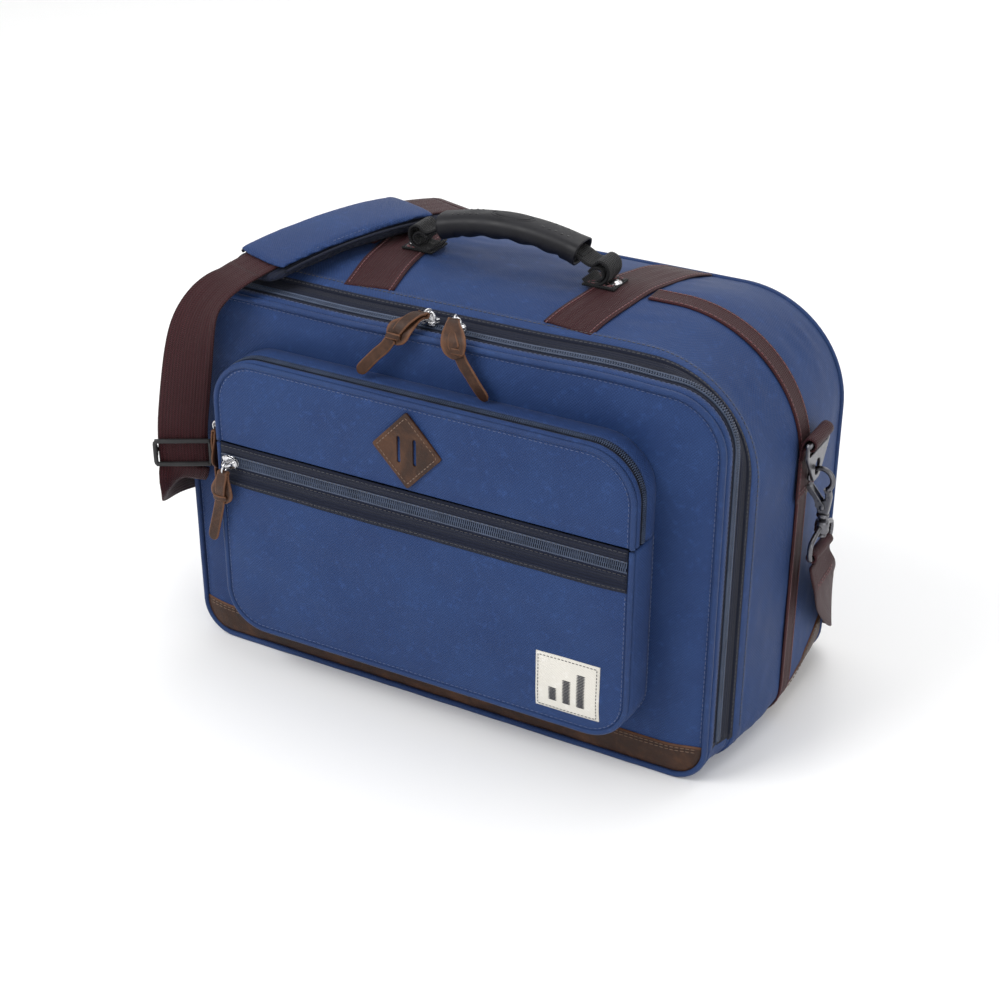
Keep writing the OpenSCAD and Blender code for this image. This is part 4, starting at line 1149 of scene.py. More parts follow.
def slash_zip():
    """Tapes, coil and stitching of the zip across the pocket's face."""
    half = POCKET_HALF - 4.4
    xs = np.linspace(-half, half, 120)

    def row_at(z, lift, over):
        return [(x, min(-POCKET_FACE - lift, pocket_front_y(x, z) - over), z) for x in xs]

    parts, runs = [], []
    for z0, z1, rows in ((SLASH_Z - 20, SLASH_Z - 1.9, (2.2, 13.5)), (SLASH_Z + 1.9, FOLD_Z - 0.4, (2.2,))):
        face = []
        for t in np.linspace(0, 1, 7):
            z = z0 + (z1 - z0) * t
            wave = 0.25 * math.sin(math.pi * t)
            face.append([(x, min(-POCKET_FACE - 0.9 - wave * math.sin(x * 0.05 + z),
                                 pocket_front_y(x, z) - 0.6), z) for x in xs])
        face = np.array(face)
        parts.append(sheet("tape", face, face + [0, 1.4, 0], face[..., [2, 0]]))
        runs += [(row_at(z0 + up, 1.15, 0.7), (0, -1, 0)) for up in rows]
    runs.append(([(x, -POCKET_FACE - 1.15, FOLD_Z - 2.4) for x in xs], (0, -1, 0)))
    finish_piece(join("slash_zip_tapes", parts), NAVY, "door", ("slash_zip_tape",))
    sew("slash_zip_stitches", runs, 3.7, (1.3, 0.3, 0.25), DARK_THREAD, "door")
    line = np.array([(x, -POCKET_FACE - 0.9, SLASH_Z) for x in xs])
    for word, up, phase, node in (("low", -1.5, 0.0, ("slash_zip_coil",)), ("high", 1.5, 0.8, ())):
        coil_row("slash_zip_teeth_" + word, line + [0, 0, up], (0, 0, 1), 1.6, phase, "door", node,
                 (2.1, 0.5, 0.9))
    for dz in (-3.9, 3.9):
        finish_piece(tube("slash_zip_cord", line + [0, 0.2, dz], 0.7, 8), TEETH, "door")


slash_zip()


LABEL_X, LABEL_Z = (100, 150), (52, 98)


def label():
    """Plain woven label with a stitched frame and a generic mark of three rising bars."""
    def on_face(x, z, lift=1.15):
        return (x, pocket_front_y(x, z) - lift, z)

    xs, zs = np.linspace(*LABEL_X, 24), np.linspace(*LABEL_Z, 22)
    face = np.array([[on_face(x, z, 1.0) for x in xs] for z in zs])
    inside = face[1:-1, 1:-1].copy()
    face[..., 1] += 0.5
    face[1:-1, 1:-1] = inside
    obj = sheet("label_cloth", face, face + [0, 1.4, 0], face[..., [0, 2]])
    finish_piece(obj, LABEL, "door", ("label_patch",))
    (x0, x1), (z0, z1) = (LABEL_X[0] + 2, LABEL_X[1] - 2), (LABEL_Z[0] + 2, LABEL_Z[1] - 2)
    border = []
    for (xa, za), (xb, zb) in (((x0, z0), (x1, z0)), ((x1, z0), (x1, z1)), ((x1, z1), (x0, z1)),
                               ((x0, z1), (x0, z0))):
        border += [on_face(x, z) for x, z in zip(np.linspace(xa, xb, 30), np.linspace(za, zb, 30))]
    frame_row = [(border, (0, -1, 0))]
    sew("label_edge_stitches", frame_row, 2.8, (0.95, 0.3, 0.25), DARK_THREAD, "door")
    runs = []
    for x, top in ((114, 72), (125, 80), (136, 88)):
        for z in np.arange(61, top, 1.25):
            runs.append(([on_face(x - 3.2, z), on_face(x + 3.2, z)], (0, -1, 0)))
    sew("label_woven_mark", runs, 6.4, (3.2, 0.55, 0.3), DARK_THREAD, "door")


label()


def diamond():
    loop = [(28.5, 0), (0, 30), (-28.5, 0), (0, -30)]
    pts = []
    for k in range(4):
        a, b, c = np.array(loop[k - 1]), np.array(loop[k]), np.array(loop[(k + 1) % 4])
        p0, p1 = b + (a - b) * 0.05, b + (c - b) * 0.05
        for t in np.linspace(0, 1, 5):
            pts.append(tuple((1 - t) ** 2 * p0 + 2 * t * (1 - t) * b + t ** 2 * p1))
    slots = []
    for x in (-6.5, 6.5):
        s = [(x + 1.3 * math.cos(a), 9 + 1.3 * math.sin(a)) for a in np.linspace(0, math.pi, 7)]
        s += [(x + 1.3 * math.cos(a), -9 + 1.3 * math.sin(a)) for a in np.linspace(math.pi, 2 * math.pi, 7)]
        slots.append(s)
    y = flap_front_y(-4, 229.5) - 0.55
    m = axes((1, 0, 0), (0, 0, 1), (0, -1, 0), (-4, y, 229.5))
    obj = plate("diamond_leather_patch", [pts] + slots, 2.0, 0.5, m, 3)
    finish_piece(obj, LEATHER, "pocket_flap", ("diamond_patch",))
    ring = [(x * 0.86 - 4, y - 1.0, z * 0.86 + 229.5) for x, z in pts]
    ring = np.array(ring + [ring[0]])
    sew("diamond_stitches", [(ring, (0, -1, 0))], 3.4, (1.15, 0.34, 0.3), BROWN_THREAD, "pocket_flap")


diamond()


# ---------------------------------------------------------------- zip sliders and pulls
COIL_TOP = DOOR_H + 2.9
BAR = 7.5
SLASH_FRONT = POCKET_FACE + 2.1
MAIN_BAR = COIL_TOP + BAR


def slider(name, at, x_axis, y_axis, body, turn90=False):
    """Polished zip slider: two winged plates, a nose, and an arched bridge that holds the pull's ring."""
    x, y = np.array(x_axis, float), np.array(y_axis, float)
    z = np.cross(x, y)
    bx, by = (y, -x) if turn90 else (x, y)
    half = [(-6.2, -3.2), (-5.6, -4.3), (-1.5, -4.9), (2.5, -4.6), (5.6, -3.0), (7.0, -1.0)]
    shape = half + [(px, -py) for px, py in half[::-1]] + [(-4.6, 0.0)]
    loop = [(px + 0.4, py) for px, py in shape]
    at = np.array(at, float)
    top = plate(name + "_t", [loop], 1.7, 0.5, axes(bx, by, z, at + z * 2.3), 3)
    low = plate(name + "_l", [loop], 1.0, 0.3, axes(bx, by, z, at + z * 0.5), 2)
    wings = []
    for s in (-1, 1):
        rail = np.array([at + bx * q + by * s * (4.2 if q < 3 else 3.4) + z * 1.6
                         for q in np.linspace(-5, 5, 6)])
        wings.append(tube(name + "_w", rail, 0.75, 8))
    hump = []
    for a in np.linspace(0, math.pi, 15):
        hump.append(at + x * (-3.9 * math.cos(a)) + z * (2.6 + 5.7 * math.sin(a) ** 0.8))
    bridge = tube(name + "_b", hump, 1.0, 10, squash=1.25, up=tuple(y))
    dome = [at + z * 2.9 + bx * 4.6 + z * k for k in (0, 0.5, 0.9, 1.1)]
    crown = tube(name + "_c", np.array(dome), [2.4, 2.2, 1.5, 0.3], 14)
    return finish_piece(join(name, [top, low, bridge, crown] + wings), SILVER, body, (name,))


slider("main_slider_left", (-13, -ZIP_Y, COIL_TOP), (-1, 0, 0), (0, -1, 0), "main_slider_left")
slider("main_slider_right", (8, -ZIP_Y, COIL_TOP), (1, 0, 0), (0, 1, 0), "main_slider_right")
slider("slash_slider", (-158, -SLASH_FRONT, SLASH_Z), (1, 0, 0), (0, 0, 1), "slash_slider")
slider("pocket_slider", (-POCKET_HALF - 1.1, -POCKET_ZIP, 203), (0, -1, 0), (0, 0, 1), "pocket_slider",
       turn90=True)


def leather_pull(name, body, bar, bar_dir, route, wide_front=False):
    """Wire ring and a leather strap that is folded through it and threaded through its own slit."""
    bar_dir = np.array(bar_dir, float)
    route = smooth_path(route, 1.6)
    s = lengths(route)
    total = s[-1]
    t = tangents(route)
    out = unit(np.cross(bar_dir, t))
    if np.mean(out @ (np.mean(route, axis=0) - np.array([0, 0, 130.0]))) < 0:
        out = -out
    start = route[0]
    first = unit(start - bar)
    ring_c = bar + first * 2.6
    side = unit(np.cross(first, bar_dir))
    wire = np.array([ring_c + 4.4 * (math.cos(a) * first + 0.8 * math.sin(a) * side)
                     for a in np.linspace(0, 2 * math.pi, 28, endpoint=False)])
    ring = tube(name + "_ring", wire, 0.8, 10, closed=True)

    def layer(tag, q0, q1, table, lift, thick, bow=0.0):
        pick = (s >= q0 - 0.01) & (s <= q1 + 0.01)
        p = route[pick] + out[pick] * lift
        u = (s[pick] - q0) / (q1 - q0)
        p = p + out[pick] * (bow * np.sin(math.pi * u))[:, None]
        half = np.interp(s[pick], *zip(*table)) / 2
        return strip(name + tag, p, bar_dir, half, thick, 7)

    head = min(31.0, total * 0.5)
    lozenge = [(0, 9.5), (5, 10.5), (12, 16.0), (19, 20.0), (24, 19.0), (28, 13.5), (head, 7.0)]
    tongue = [(0, 9.0), (total - 6, 9.6), (total - 2.5, 8.6), (total - 0.8, 5.0), (total, 2.0)]
    parts = []
    if wide_front:
        parts.append(layer("_back", 1, total, tongue, 0.2, 1.8))
        parts.append(layer("_head", 0, head, lozenge, 2.2, 1.9, 0.9))
        slit = [(head * 0.36, 1.0), (head * 0.45, 5.0), (head * 0.66, 9.0), (head * 0.78, 8.0)]
        parts.append(layer("_slit", head * 0.36, head * 0.78, slit, 3.4, 1.4, 0.7))
    else:
        parts.append(layer("_head", 0, head, lozenge, 0.2, 1.9, 0.2))
        parts.append(layer("_front", 0, head * 0.74, [(0, 9.6), (head * 0.5, 9.2), (head * 0.74, 7.4)],
                           2.3, 1.8, 1.6))
        parts.append(layer("_tail", head * 0.82, total, tongue, 1.9, 1.8))
    # the strap's turn through the slit, and its fold round the ring
    k = int(np.argmin(abs(s - head * 0.8)))
    knot = np.array([route[k] + bar_dir * u * 6.0 + out[k] * (2.0 + 1.7 * (1 - u * u))
                     for u in np.linspace(-1, 1, 9)])
    parts.append(strip(name + "_knot", knot, t[k], 2.6, 1.7, 5, 0.5))
    fold = []
    for a in np.linspace(-0.6, math.pi + 0.6, 12):
        fold.append(start - t[0] * 1.1 * math.sin(a) * 1.5 + out[0] * (1.2 - 1.5 * math.cos(a)))
    parts.append(strip(name + "_fold", np.array(fold), bar_dir, 4.6, 1.7, 5))
    leather = join(name + "_leather", parts)
    sub = leather.modifiers.new("round", "SUBSURF")
    sub.levels = sub.render_levels = 1
    finish_piece(ring, SILVER, body)
    finish_piece(leather, LEATHER, body, (name,))


def draped(x0, dx, ends_y, end_z):
    steps = [(0.05, -103.6, MAIN_BAR - 0.4), (0.12, -109, MAIN_BAR - 1.2), (0.26, -116.8, MAIN_BAR - 6.5),
             (0.4, -120.3, MAIN_BAR - 14),
             (0.52, -121.6, MAIN_BAR - 21), (0.64, -122.4, MAIN_BAR - 26),
             (0.82, (-122.4 + ends_y) / 2 - 0.6, (MAIN_BAR - 26 + end_z) / 2),
             (1, ends_y, end_z)]
    return [(x0 + dx * a, y, z) for a, y, z in steps]


leather_pull("main_pull_left", "main_pull_left", np.array([-13, -ZIP_Y, MAIN_BAR]), (1, 0, 0),
             draped(-13, -42, -125.5, 270.5))
leather_pull("main_pull_right", "main_pull_right", np.array([8, -ZIP_Y, MAIN_BAR]), (1, 0, 0),
             draped(8, 38, -121.5, 269), True)
sb = -SLASH_FRONT - BAR
leather_pull("slash_pull", "slash_pull", np.array([-158, sb, SLASH_Z]), (1, 0, 0),
             [(-158 - d * 0.28, min(sb + d * 0.14, -POCKET_FACE - 4.2), SLASH_Z - d)
              for d in (6.5, 16, 25, 35, 43, 52, 70)])
pb = -POCKET_HALF - 1.1 - BAR
leather_pull("pocket_pull", "pocket_pull", np.array([pb, -POCKET_ZIP, 203]), (0, 1, 0),
             [(pb + 0.4 * math.sin(d * 0.1), -POCKET_ZIP + d * 0.02, 203 - d)
              for d in (6.5, 16, 25, 35, 43, 52, 74)])


# ---------------------------------------------------------------- handle
GRIP_R, GRIP_Z, GRIP_A = 198.0, 348.0, math.radians(16.6)


def grip_point(a, out=0.0):
    return np.array([(GRIP_R + out) * math.sin(a), 0, GRIP_Z - GRIP_R + (GRIP_R + out) * math.cos(a)])


def crown(a, w):
    """Point on top of the grip's skin, at angle a along it and w across it."""
    sx = (1 - min(1, abs(w) / 13.1) ** (2 / 0.72)) ** 0.5
    return grip_point(a, 9.2 * sx ** 0.85) + np.array([0, w, 0])


def grip_oval():
    """Raised oval badge with a groove round it, moulded on the middle of the crown."""
    rows = [(0.02, 0.75), (0.4, 0.72), (0.75, 0.62), (0.88, 0.5), (0.94, 0.15), (0.955, -0.5), (1.045, -0.5),
            (1.055, 0.28), (1.1, 0.3),
            (1.16, 0.05), (1.18, -0.6)]
    m = 72
    verts = []
    for e, lift in rows:
        for j in range(m):
            q = 2 * math.pi * j / m
            a, w = 15.0 * e * math.cos(q) / GRIP_R, 6.6 * e * math.sin(q)
            up = np.array([math.sin(a), 0, math.cos(a)])
            verts.append(crown(a, w) + up * lift)
    faces = [f[::-1] for f in grid_faces(len(rows), m, wrap_cols=True)]
    faces.append(tuple(range(m)))
    low = len(verts)
    verts += [v - np.array([0, 0, 0.5]) for v in verts[(len(rows) - 1) * m:]]
    last = (len(rows) - 1) * m
    faces += [(last + j, last + (j + 1) % m, low + (j + 1) % m, low + j) for j in range(m)]
    faces.append(tuple(low + j for j in range(m)))
    obj = mesh_object("handle_grip_oval", verts, faces)
    fix_normals(obj)
    return obj


def grip():
    """Moulded grip: flat top, finger grooves below, flared open ends, an oval on top and dimples."""
    n, m = 121, 40
    verts = []
    for i in range(n):
        u = -1 + 2 * i / (n - 1)
        a = u * GRIP_A
        c = grip_point(a)
        up = unit(np.array([math.sin(a), 0, math.cos(a)]))
        flare = 1.0 + 0.05 * max(0, (abs(u) - 0.86) / 0.14)
        groove = 0.0 if abs(u) > 0.78 else 1.5 * (0.5 - 0.5 * math.cos(2 * math.pi * (u / 0.78 * 2.0 + 0.5)))
        for j in range(m):
            q = 2 * math.pi * j / m
            cx, sx = math.cos(q), math.sin(q)
            w = 13.1 * math.copysign(abs(cx) ** 0.72, cx) * flare
            h = (9.2 if sx > 0 else 9.4) * math.copysign(abs(sx) ** 0.85, sx) * flare
            if sx < -0.2:
                h += groove * min(1, (-sx - 0.2) / 0.5)
            verts.append(c + np.array([0, w, 0]) + up * h)
    faces = grid_faces(n, m, wrap_cols=True)
    # hollow ends with a rim
    for i, sgn in ((0, -1), (n - 1, 1)):
        ring0 = [i * m + j for j in range(m)]
        c = np.mean([verts[k] for k in ring0], axis=0)
        ax = unit(np.array([math.cos(sgn * GRIP_A) * sgn, 0, -math.sin(GRIP_A)]))
        prev = ring0
        for shrink, depth in ((0.86, 0.0), (0.82, -1.2), (0.74, -6.0)):
            ids = list(range(len(verts), len(verts) + m))
            verts += [c + (verts[k] - c) * shrink + ax * depth for k in ring0]
            for j in range(m):
                f = (prev[j], prev[(j + 1) % m], ids[(j + 1) % m], ids[j])
                faces.append(f if sgn > 0 else f[::-1])
            prev = ids
        faces.append(tuple(prev) if sgn > 0 else tuple(prev[::-1]))
    obj = mesh_object("handle_grip_rubber", verts, faces)
    fix_normals(obj)
    finish_piece(obj, RUBBER, "handle", ("handle_grip",))
    finish_piece(grip_oval(), RUBBER, "handle")
    cs, al, ac = [], [], []
    for s in (-1, 1):
        for i in range(5):
            for row in (-1, 1):
                u = s * (0.46 + 0.085 * i)
                a = u * GRIP_A
                w = row * (5.0 + (0.5 if i % 2 else 0))
                up = unit(np.array([math.sin(a), 0, math.cos(a)]))
                cs.append(grip_point(a) + np.array([0, w, 0]) + up * 8.75)
                al.append(unit(np.array([math.cos(a), 0, -math.sin(a)])))
                ac.append((0, 1, 0))
    finish_piece(blobs("handle_grip_studs", np.array(cs), np.array(al), np.array(ac), (1.05, 1.05, 0.45), 12),
                 PLASTIC, "handle",
                 ())


grip()


# paths of the end loop and of the tail inside it, as (x, z), and the rivet's profile as (height, radius)
LOOP = [(68, 334.5), (75, 338.6), (81.2, 335.5), (82.0, 329), (78.5, 323.2), (73, 321.0), (66, 321.0),
        (62.3, 324.0)]
INNER_LOOP = [(66.8, 329.5), (69.5, 332.6), (74, 333.6), (78, 331.0), (78.3, 327), (74, 323.8)]
RIVET = [(0.0, 5.4), (0.501, 5.4), (1.002, 4.6), (1.103, 3.4), (1.504, 3.0), (2.005, 1.8), (2.156, 0.3)]


def handle_webbing():
    """One webbing core runs through the grip and makes a drooping loop at each end, sewn to the top band."""
    a_end = GRIP_A + math.radians(1.2)
    core = np.array([grip_point(a) for a in np.linspace(-a_end, a_end, 50)])
    finish_piece(strip("handle_core_webbing", core, (0, 1, 0), 9.0, 2.4, 7), BLACK, "handle",
                 ("handle_core",))
    loops, anchors, rivets, runs = [], [], [], []
    for side in (1, -1):
        def at(points):
            return [(side * x, 0, z) for x, z in points]

        end = grip_point(GRIP_A - 0.02) * [side, 1, 1]
        outer = smooth_path([end, end + [side * 3.5, 0, -1.0]] + at(LOOP), 1.6)
        loops.append(strip("loop", outer, (0, 1, 0), 11.2, 2.3, 9))
        loops.append(strip("loop_in", smooth_path(at(INNER_LOOP), 1.6), (0, 1, 0), 11.0, 2.0, 7))
        p = [(x, BODY_H + 2.9 + 0.35 * math.sin((x - 62) / 26 * math.pi))
             for x in np.linspace(62.5, 88.0, 14)]
        anchors.append(strip("anchor", at(p), (0, 1, 0), 12.3, 1.7, 9))
        z = BODY_H + 4.0
        for (xa, ya), (xb, yb) in (((65, -10), (86, -10)), ((65, 10), (86, 10)), ((86, -10), (86, 10))):
            runs.append(([(side * xa, ya, z), (side * xb, yb, z)], (0, 0, 1)))
        rivets.append(tube("rivet", at([(83.0, BODY_H + 3.9 + up) for up, _ in RIVET]),
                           [r for _, r in RIVET], 24))
    finish_piece(join("handle_end_loops", loops), BLACK, "handle", ("handle_loops",))
    finish_piece(join("handle_anchor_webbing", anchors), BLACK, "case", ("handle_anchors",))
    sew("handle_anchor_stitches", runs, 3.4, (1.2, 0.36, 0.3), DARK_THREAD, "case")
    finish_piece(join("anchor_rivet_heads", rivets), SILVER, "case", ("anchor_rivets",))


handle_webbing()


# ---------------------------------------------------------------- strap hardware
RING_X, RING_Y, RING_Z = SIDE_X + 9.2, 3.0, 236.0
HOOK_X, HOOK_Z = SIDE_X + 13.7, 202.8
SHANK_X, EYE_Z = SIDE_X + 17.5, 148.0
GATE_PIN = (SIDE_X + 17, 182.0)


def side_plane(side, y=0.0):
    """Upright plane across the bag through the hook, y off its middle."""
    return axes((side, 0, 0), (0, 0, 1), (0, -1, 0), (0, RING_Y + y, 0))


def mirror_x(p, side):
    """Points of the right side's hardware, or their mirror image, moved to the middle of the girth band."""
    p = np.array(p, float)
    p[..., 0] *= side
    p[..., 1] += RING_Y
    return p


def tab(side, name):
    """Webbing folded over the ring's bar. Both tails lie on the girth band and are sewn through it."""
    x0, x1 = SIDE_X + 2.4, RING_X
    route = [(x0, 188), (x0, 205), (x0 + 0.1, 222), (x0 + 1.0, 234), (x1 - 3.2, 239.4), (x1, 240.4),
             (x1 + 3.4, 238.6),
             (x1 + 4.3, 235.6), (x1 + 2.8, 232.4), (x1 - 0.2, 231.4), (x1 - 3.2, 232.6), (x0 + 2.2, 229),
             (x0 + 1.7, 222)]
    path = smooth_path(mirror_x([(x, 0, z) for x, z in route], side), 1.8)
    finish_piece(strip(name + "_webbing", path, (0, side, 0), 17.5, 1.45, 9), MAROON, "case", (name,))
    ends = [((-14, z), (14, z)) for z in (192, 195)] + [((y, 190), (y, 224)) for y in (-14.5, 14.5)]
    runs = [(mirror_x([(x0 + 0.95, y, z) for y, z in pair], side), (side, 0, 0)) for pair in ends]
    sew(name + "_stitches", runs, 3.6, (1.3, 0.38, 0.35), MAROON_THREAD, "case")


def strap_ring(side, word):
    """Triangular plate with a slot for the tab and an oval eye for the hook."""
    z, low = RING_Z, 202.5
    outer = mirrored([(-20.5, z + 2.2), (-22, z + 0.6), (-22, z - 9), (-20.8, z - 11.6), (-8.6, low + 4.4),
                      (-6.4, low + 1.2), (-4, low)])
    slot = mirrored([(-19, z - 2.0), (-19, z - 7.6), (-17.6, z - 9)])
    eye = [(x, y + (210.8 if y < 0 else 214.4)) for x, y in circle(0, 0, 4.6, 30)]
    m = axes((0, 1, 0), (0, 0, 1), (1, 0, 0), (side * RING_X, RING_Y, 0))
    ring = plate("strap_ring_" + word, [outer, slot, eye], 2.4, 0.7, m, 3)
    bar = tube("bar", mirror_x([(RING_X, -20.5, z), (RING_X, 20.5, z)], side), 2.1, 14)
    finish_piece(join("strap_ring_" + word, [ring, bar]), STEEL, "ring_" + word, ("ring_" + word,))


def snap_hook(side, word):
    """Cast hook: tapering curl, flat body, swivel collar and peened shank."""
    hx, hz, sx, (px, pz) = HOOK_X, HOOK_Z, SHANK_X, GATE_PIN
    curl = [(hx + 8.8 * math.cos(a), 0, hz + 8.8 * math.sin(a))
            for a in np.radians(np.linspace(-52, 202, 46))]
    taper = np.interp(np.linspace(0, 1, 46), [0, 0.12, 0.6, 0.94, 1], [2.3, 2.05, 1.8, 1.65, 1.1])
    body = [(hx + 2.8, hz - 6.6), (hx + 8.4, hz - 7.4), (hx + 9.6, hz - 12), (hx + 9.2, 187), (sx + 4.4, 179),
            (sx + 3.8, 176.6), (sx - 3.6, 176.6), (sx - 4.6, 180), (px - 4.0, 184.5), (px + 1.4, 188.5),
            (hx + 4.6, 192.5)]
    shank = [(176.9, 3.6), (176.2, 4.6), (174.4, 4.6), (173.6, 3.9), (172.9, 3.0), (172.2, 2.4), (160.2, 2.4),
             (159.9, 3.9), (158.7, 3.9), (158.3, 3.0)]
    parts = [tube("curl", mirror_x(curl, side), taper, 12),
             plate("body", [body, circle(px, pz, 1.3, 14)], 4.4, 0.9, side_plane(side), 3),
             tube("shank", mirror_x([(sx, 0, z) for z, _ in shank], side), [r for _, r in shank], 20)]
    finish_piece(join("snap_hook_cast_" + word, parts), STEEL, "snap_hook_" + word, ("snap_hook_" + word,))


def hook_gate(side, word):
    """Gate: two cheeks, a nose and a rivet."""
    tx, tz = HOOK_X - 8.6, HOOK_Z - 5.2
    px, pz = GATE_PIN
    nose = [(-0.7, -1), (0.4, 0.5), (1.9, 0.2), (5.2, -6.4), (3.0, -8.0), (0.6, -5.0)]
    cheek = [(tx - 0.7, tz - 1), (tx + 1.8, tz + 0.2)]
    cheek += [(px + x, pz + z) for x, z in ((1.6, 2.0), (2.0, -0.6), (0.2, -2.4), (-3.0, -1.2),
                                            (-5.2, 0.4), (-5.0, 2.4), (-6.4, 5.6))]
    rivet = [(-3.9, 0.8), (-3.7, 1.7), (-3.3, 1.9), (3.3, 1.9), (3.7, 1.7), (3.9, 0.8)]
    parts = [plate("cheek", [cheek], 1.0, 0.25, side_plane(side, y), 2) for y in (2.85, -2.85)]
    parts.append(plate("nose", [[(tx + x, tz + z) for x, z in nose]], 5.6, 0.5, side_plane(side), 2))
    parts.append(tube("pin", mirror_x([(px, y, pz) for y, _ in rivet], side), [r for _, r in rivet], 16))
    finish_piece(join("hook_gate_" + word, parts), STEEL, "gate_" + word, ("gate_" + word,))


def strap_eye(side):
    """Round collar on the shank and a trapezoid of wire."""
    half = [(4.0, 166.6), (18.5, 161.8), (21.5, 158.4), (21.7, 152), (19.9, 148.5), (17.5, EYE_Z)]
    loop = [(SHANK_X, y, z) for y, z in half + [(0, EYE_Z)] + [(-y, z) for y, z in half[::-1]]]
    collar = [(161.2, 4.0), (161.6, 4.9), (163.0, 5.4), (165.0, 5.0), (167.0, 5.4), (169.0, 5.0),
              (170.6, 4.7),
              (171.0, 4.0), (171.008, 2.6)]
    return [tube("wire", smooth_path(mirror_x(loop, side), 1.5), 2.0, 12, up=(1, 0, 0)),
            tube("collar", mirror_x([(SHANK_X, 0, z) for z, _ in collar], side), [r for _, r in collar], 22)]


eye_parts = []
for side, word in ((1, "right"), (-1, "left")):
    tab(side, "ring_tab_" + word)
    strap_ring(side, word)
    snap_hook(side, word)
    hook_gate(side, word)
    eye_parts += strap_eye(side)
finish_piece(join("strap_eye_wires", eye_parts), STEEL, "case", ("strap_eyes",))


def glide():
    """Adjuster: side rails and three bars in one ladder, round the strap."""
    at = np.array([-212, -134, 173.0])
    a = math.radians(30)
    x, y, z = np.array([math.cos(a), math.sin(a), 0]), np.array([-math.sin(a), math.cos(a),
                                                                 0]), np.array([0, 0, 1.0])
    w = 19 + 2.0
    frame_pts = [(-w, -9.7), (-w, 9.7), (w, 9.7), (w, -9.7)]
    path = []
    for k in range(4):
        p0, p1, p2 = np.array(frame_pts[k - 1]), np.array(frame_pts[k]), np.array(frame_pts[(k + 1) % 4])
        q0, q1 = p1 + unit(p0 - p1) * 2.6, p1 + unit(p2 - p1) * 2.6
        for t in np.linspace(0, 1, 5):
            c = (1 - t) ** 2 * q0 + 2 * t * (1 - t) * p1 + t ** 2 * q1
            path.append(at + x * c[0] + z * c[1] - y * 3.2)
    loop = smooth_path(path, 2.0, closed=True)[:-1]
    parts = [tube("rail", loop, 1.8, 12, closed=True, up=tuple(y))]
    parts.append(tube("bar", np.array([at + x * -w + y * 3.0, at + x * w + y * 3.0]), 1.6, 12))
    for s in (-1, 1):
        cheek = [(-4.8, -5.5), (-3.4, -7.0), (2.6, -4.0), (4.4, -2.0), (4.4, 2.0), (2.6, 4.0), (-3.4, 7.0),
                 (-4.8, 5.5)]
        parts.append(plate("side", [cheek], 2.2, 0.6, axes(y, z, x, at + x * s * (w - 0.1)), 2))
    finish_piece(join("strap_adjuster", parts), PLASTIC, "tri_glide", ("tri_glide",))


glide()


# ---------------------------------------------------------------- shoulder strap
PAD_R, PAD_T, TURN = 450.0, 9.0, math.radians(70)
PAD_O = np.array([-130, 0, 320.5 - PAD_R])
STRAP_R = PAD_R + PAD_T + 0.3
MID_R = STRAP_R + 1.0
PAD_SIDE = np.array([-math.sin(TURN), math.cos(TURN), 0])


def pad_point(r, a, across=0.0):
    a = math.radians(a)
    return PAD_O + np.array([r * math.sin(a) * math.cos(TURN), r * math.sin(a) * math.sin(TURN),
                             r * math.cos(a)]) + PAD_SIDE * across


DROP = [pad_point(MID_R + 0.25, -13.6), pad_point(MID_R + 0.2, -14.6), pad_point(MID_R, -15.5),
        (-178.5, -120.5, 308.5), (-186, -124.5, 300.5),
        (-193, -128.2, 287), (-198.5, -130.8, 270), (-203, -132.5, 245), (-207, -133.5, 220),
        (-210.5, -134, 198), (-212, -134, 184),
        (-212, -134, 160)]
DROP_SIDE = [PAD_SIDE, PAD_SIDE, PAD_SIDE, (-0.93, 0.25, -0.1), (-0.94, 0.2, -0.2), (-0.95, 0.05, -0.2),
             (-0.97, -0.15, -0.1), (-0.92, -0.35, 0),
             (-0.88, -0.46, 0), (-0.866, -0.5, 0), (-0.866, -0.5, 0), (-0.866, -0.5, 0)]
RETURN = [(-212, -134, 161.2), (-212.6, -133.6, 154.5), (-214.5, -132.5, 149.5), (-223, -134, 144.5),
          (-231.5, -126.5, 140),
          (-239.8, -109, 136.5), (-243.5, -90, 132), (-247, -58, 122), (-251, -28, 116), (-254, -9, 120),
          (-253, 0, 128), (-251.5, 2.6, 136),
          (-251.5, 3, 142.4)]
RETURN_SIDE = [(-0.866, -0.5, 0), (-0.866, -0.5, 0), (-0.86, -0.48, -0.15), (-0.6, -0.45, -0.66),
               (-0.3, -0.2, -0.93), (-0.1, 0, -1),
               (0, 0.1, -1), (0, 0.15, -1), (0, 0.4, -0.9), (0, 0.8, -0.6), (0, 1, 0), (0, 1, 0), (0, 1, 0)]
REAR = [(251.5, 3, 142.4), (252, 3.4, 135), (255, 8, 124), (253, 22, 106), (248, 43, 87), (243, 66, 68),
        (236, 92, 50), (222, 110, 38),
        (190, 113, 32), (145, 112, 30), (95, 112, 38), (55, 112, 62), (18, 112, 105), (-15, 112, 152),
        (-45, 112, 204), (-72, 113, 250),
        (-90, 114, 284), (-97, 107, 308), pad_point(MID_R, 11.5), pad_point(MID_R, 10.6)]
REAR_SIDE = [(0, 1, 0), (0, 1, 0), (0, 1, 0.1), (0, 0.9, 0.4), (-0.1, 0.8, 0.55), (-0.15, 0.6, 0.78),
             (-0.2, 0.3, 0.9), (-0.2, 0.1, 1), (0, 0, 1),
             (0, 0, 1), (0.3, 0, 0.95), (0.6, 0, 0.8), (0.8, 0, 0.6), (0.87, 0, 0.5), (0.88, 0, 0.48),
             (0.9, 0, 0.4), (0.95, -0.1, 0.2),
             (0.97, -0.25, 0), -PAD_SIDE, -PAD_SIDE]


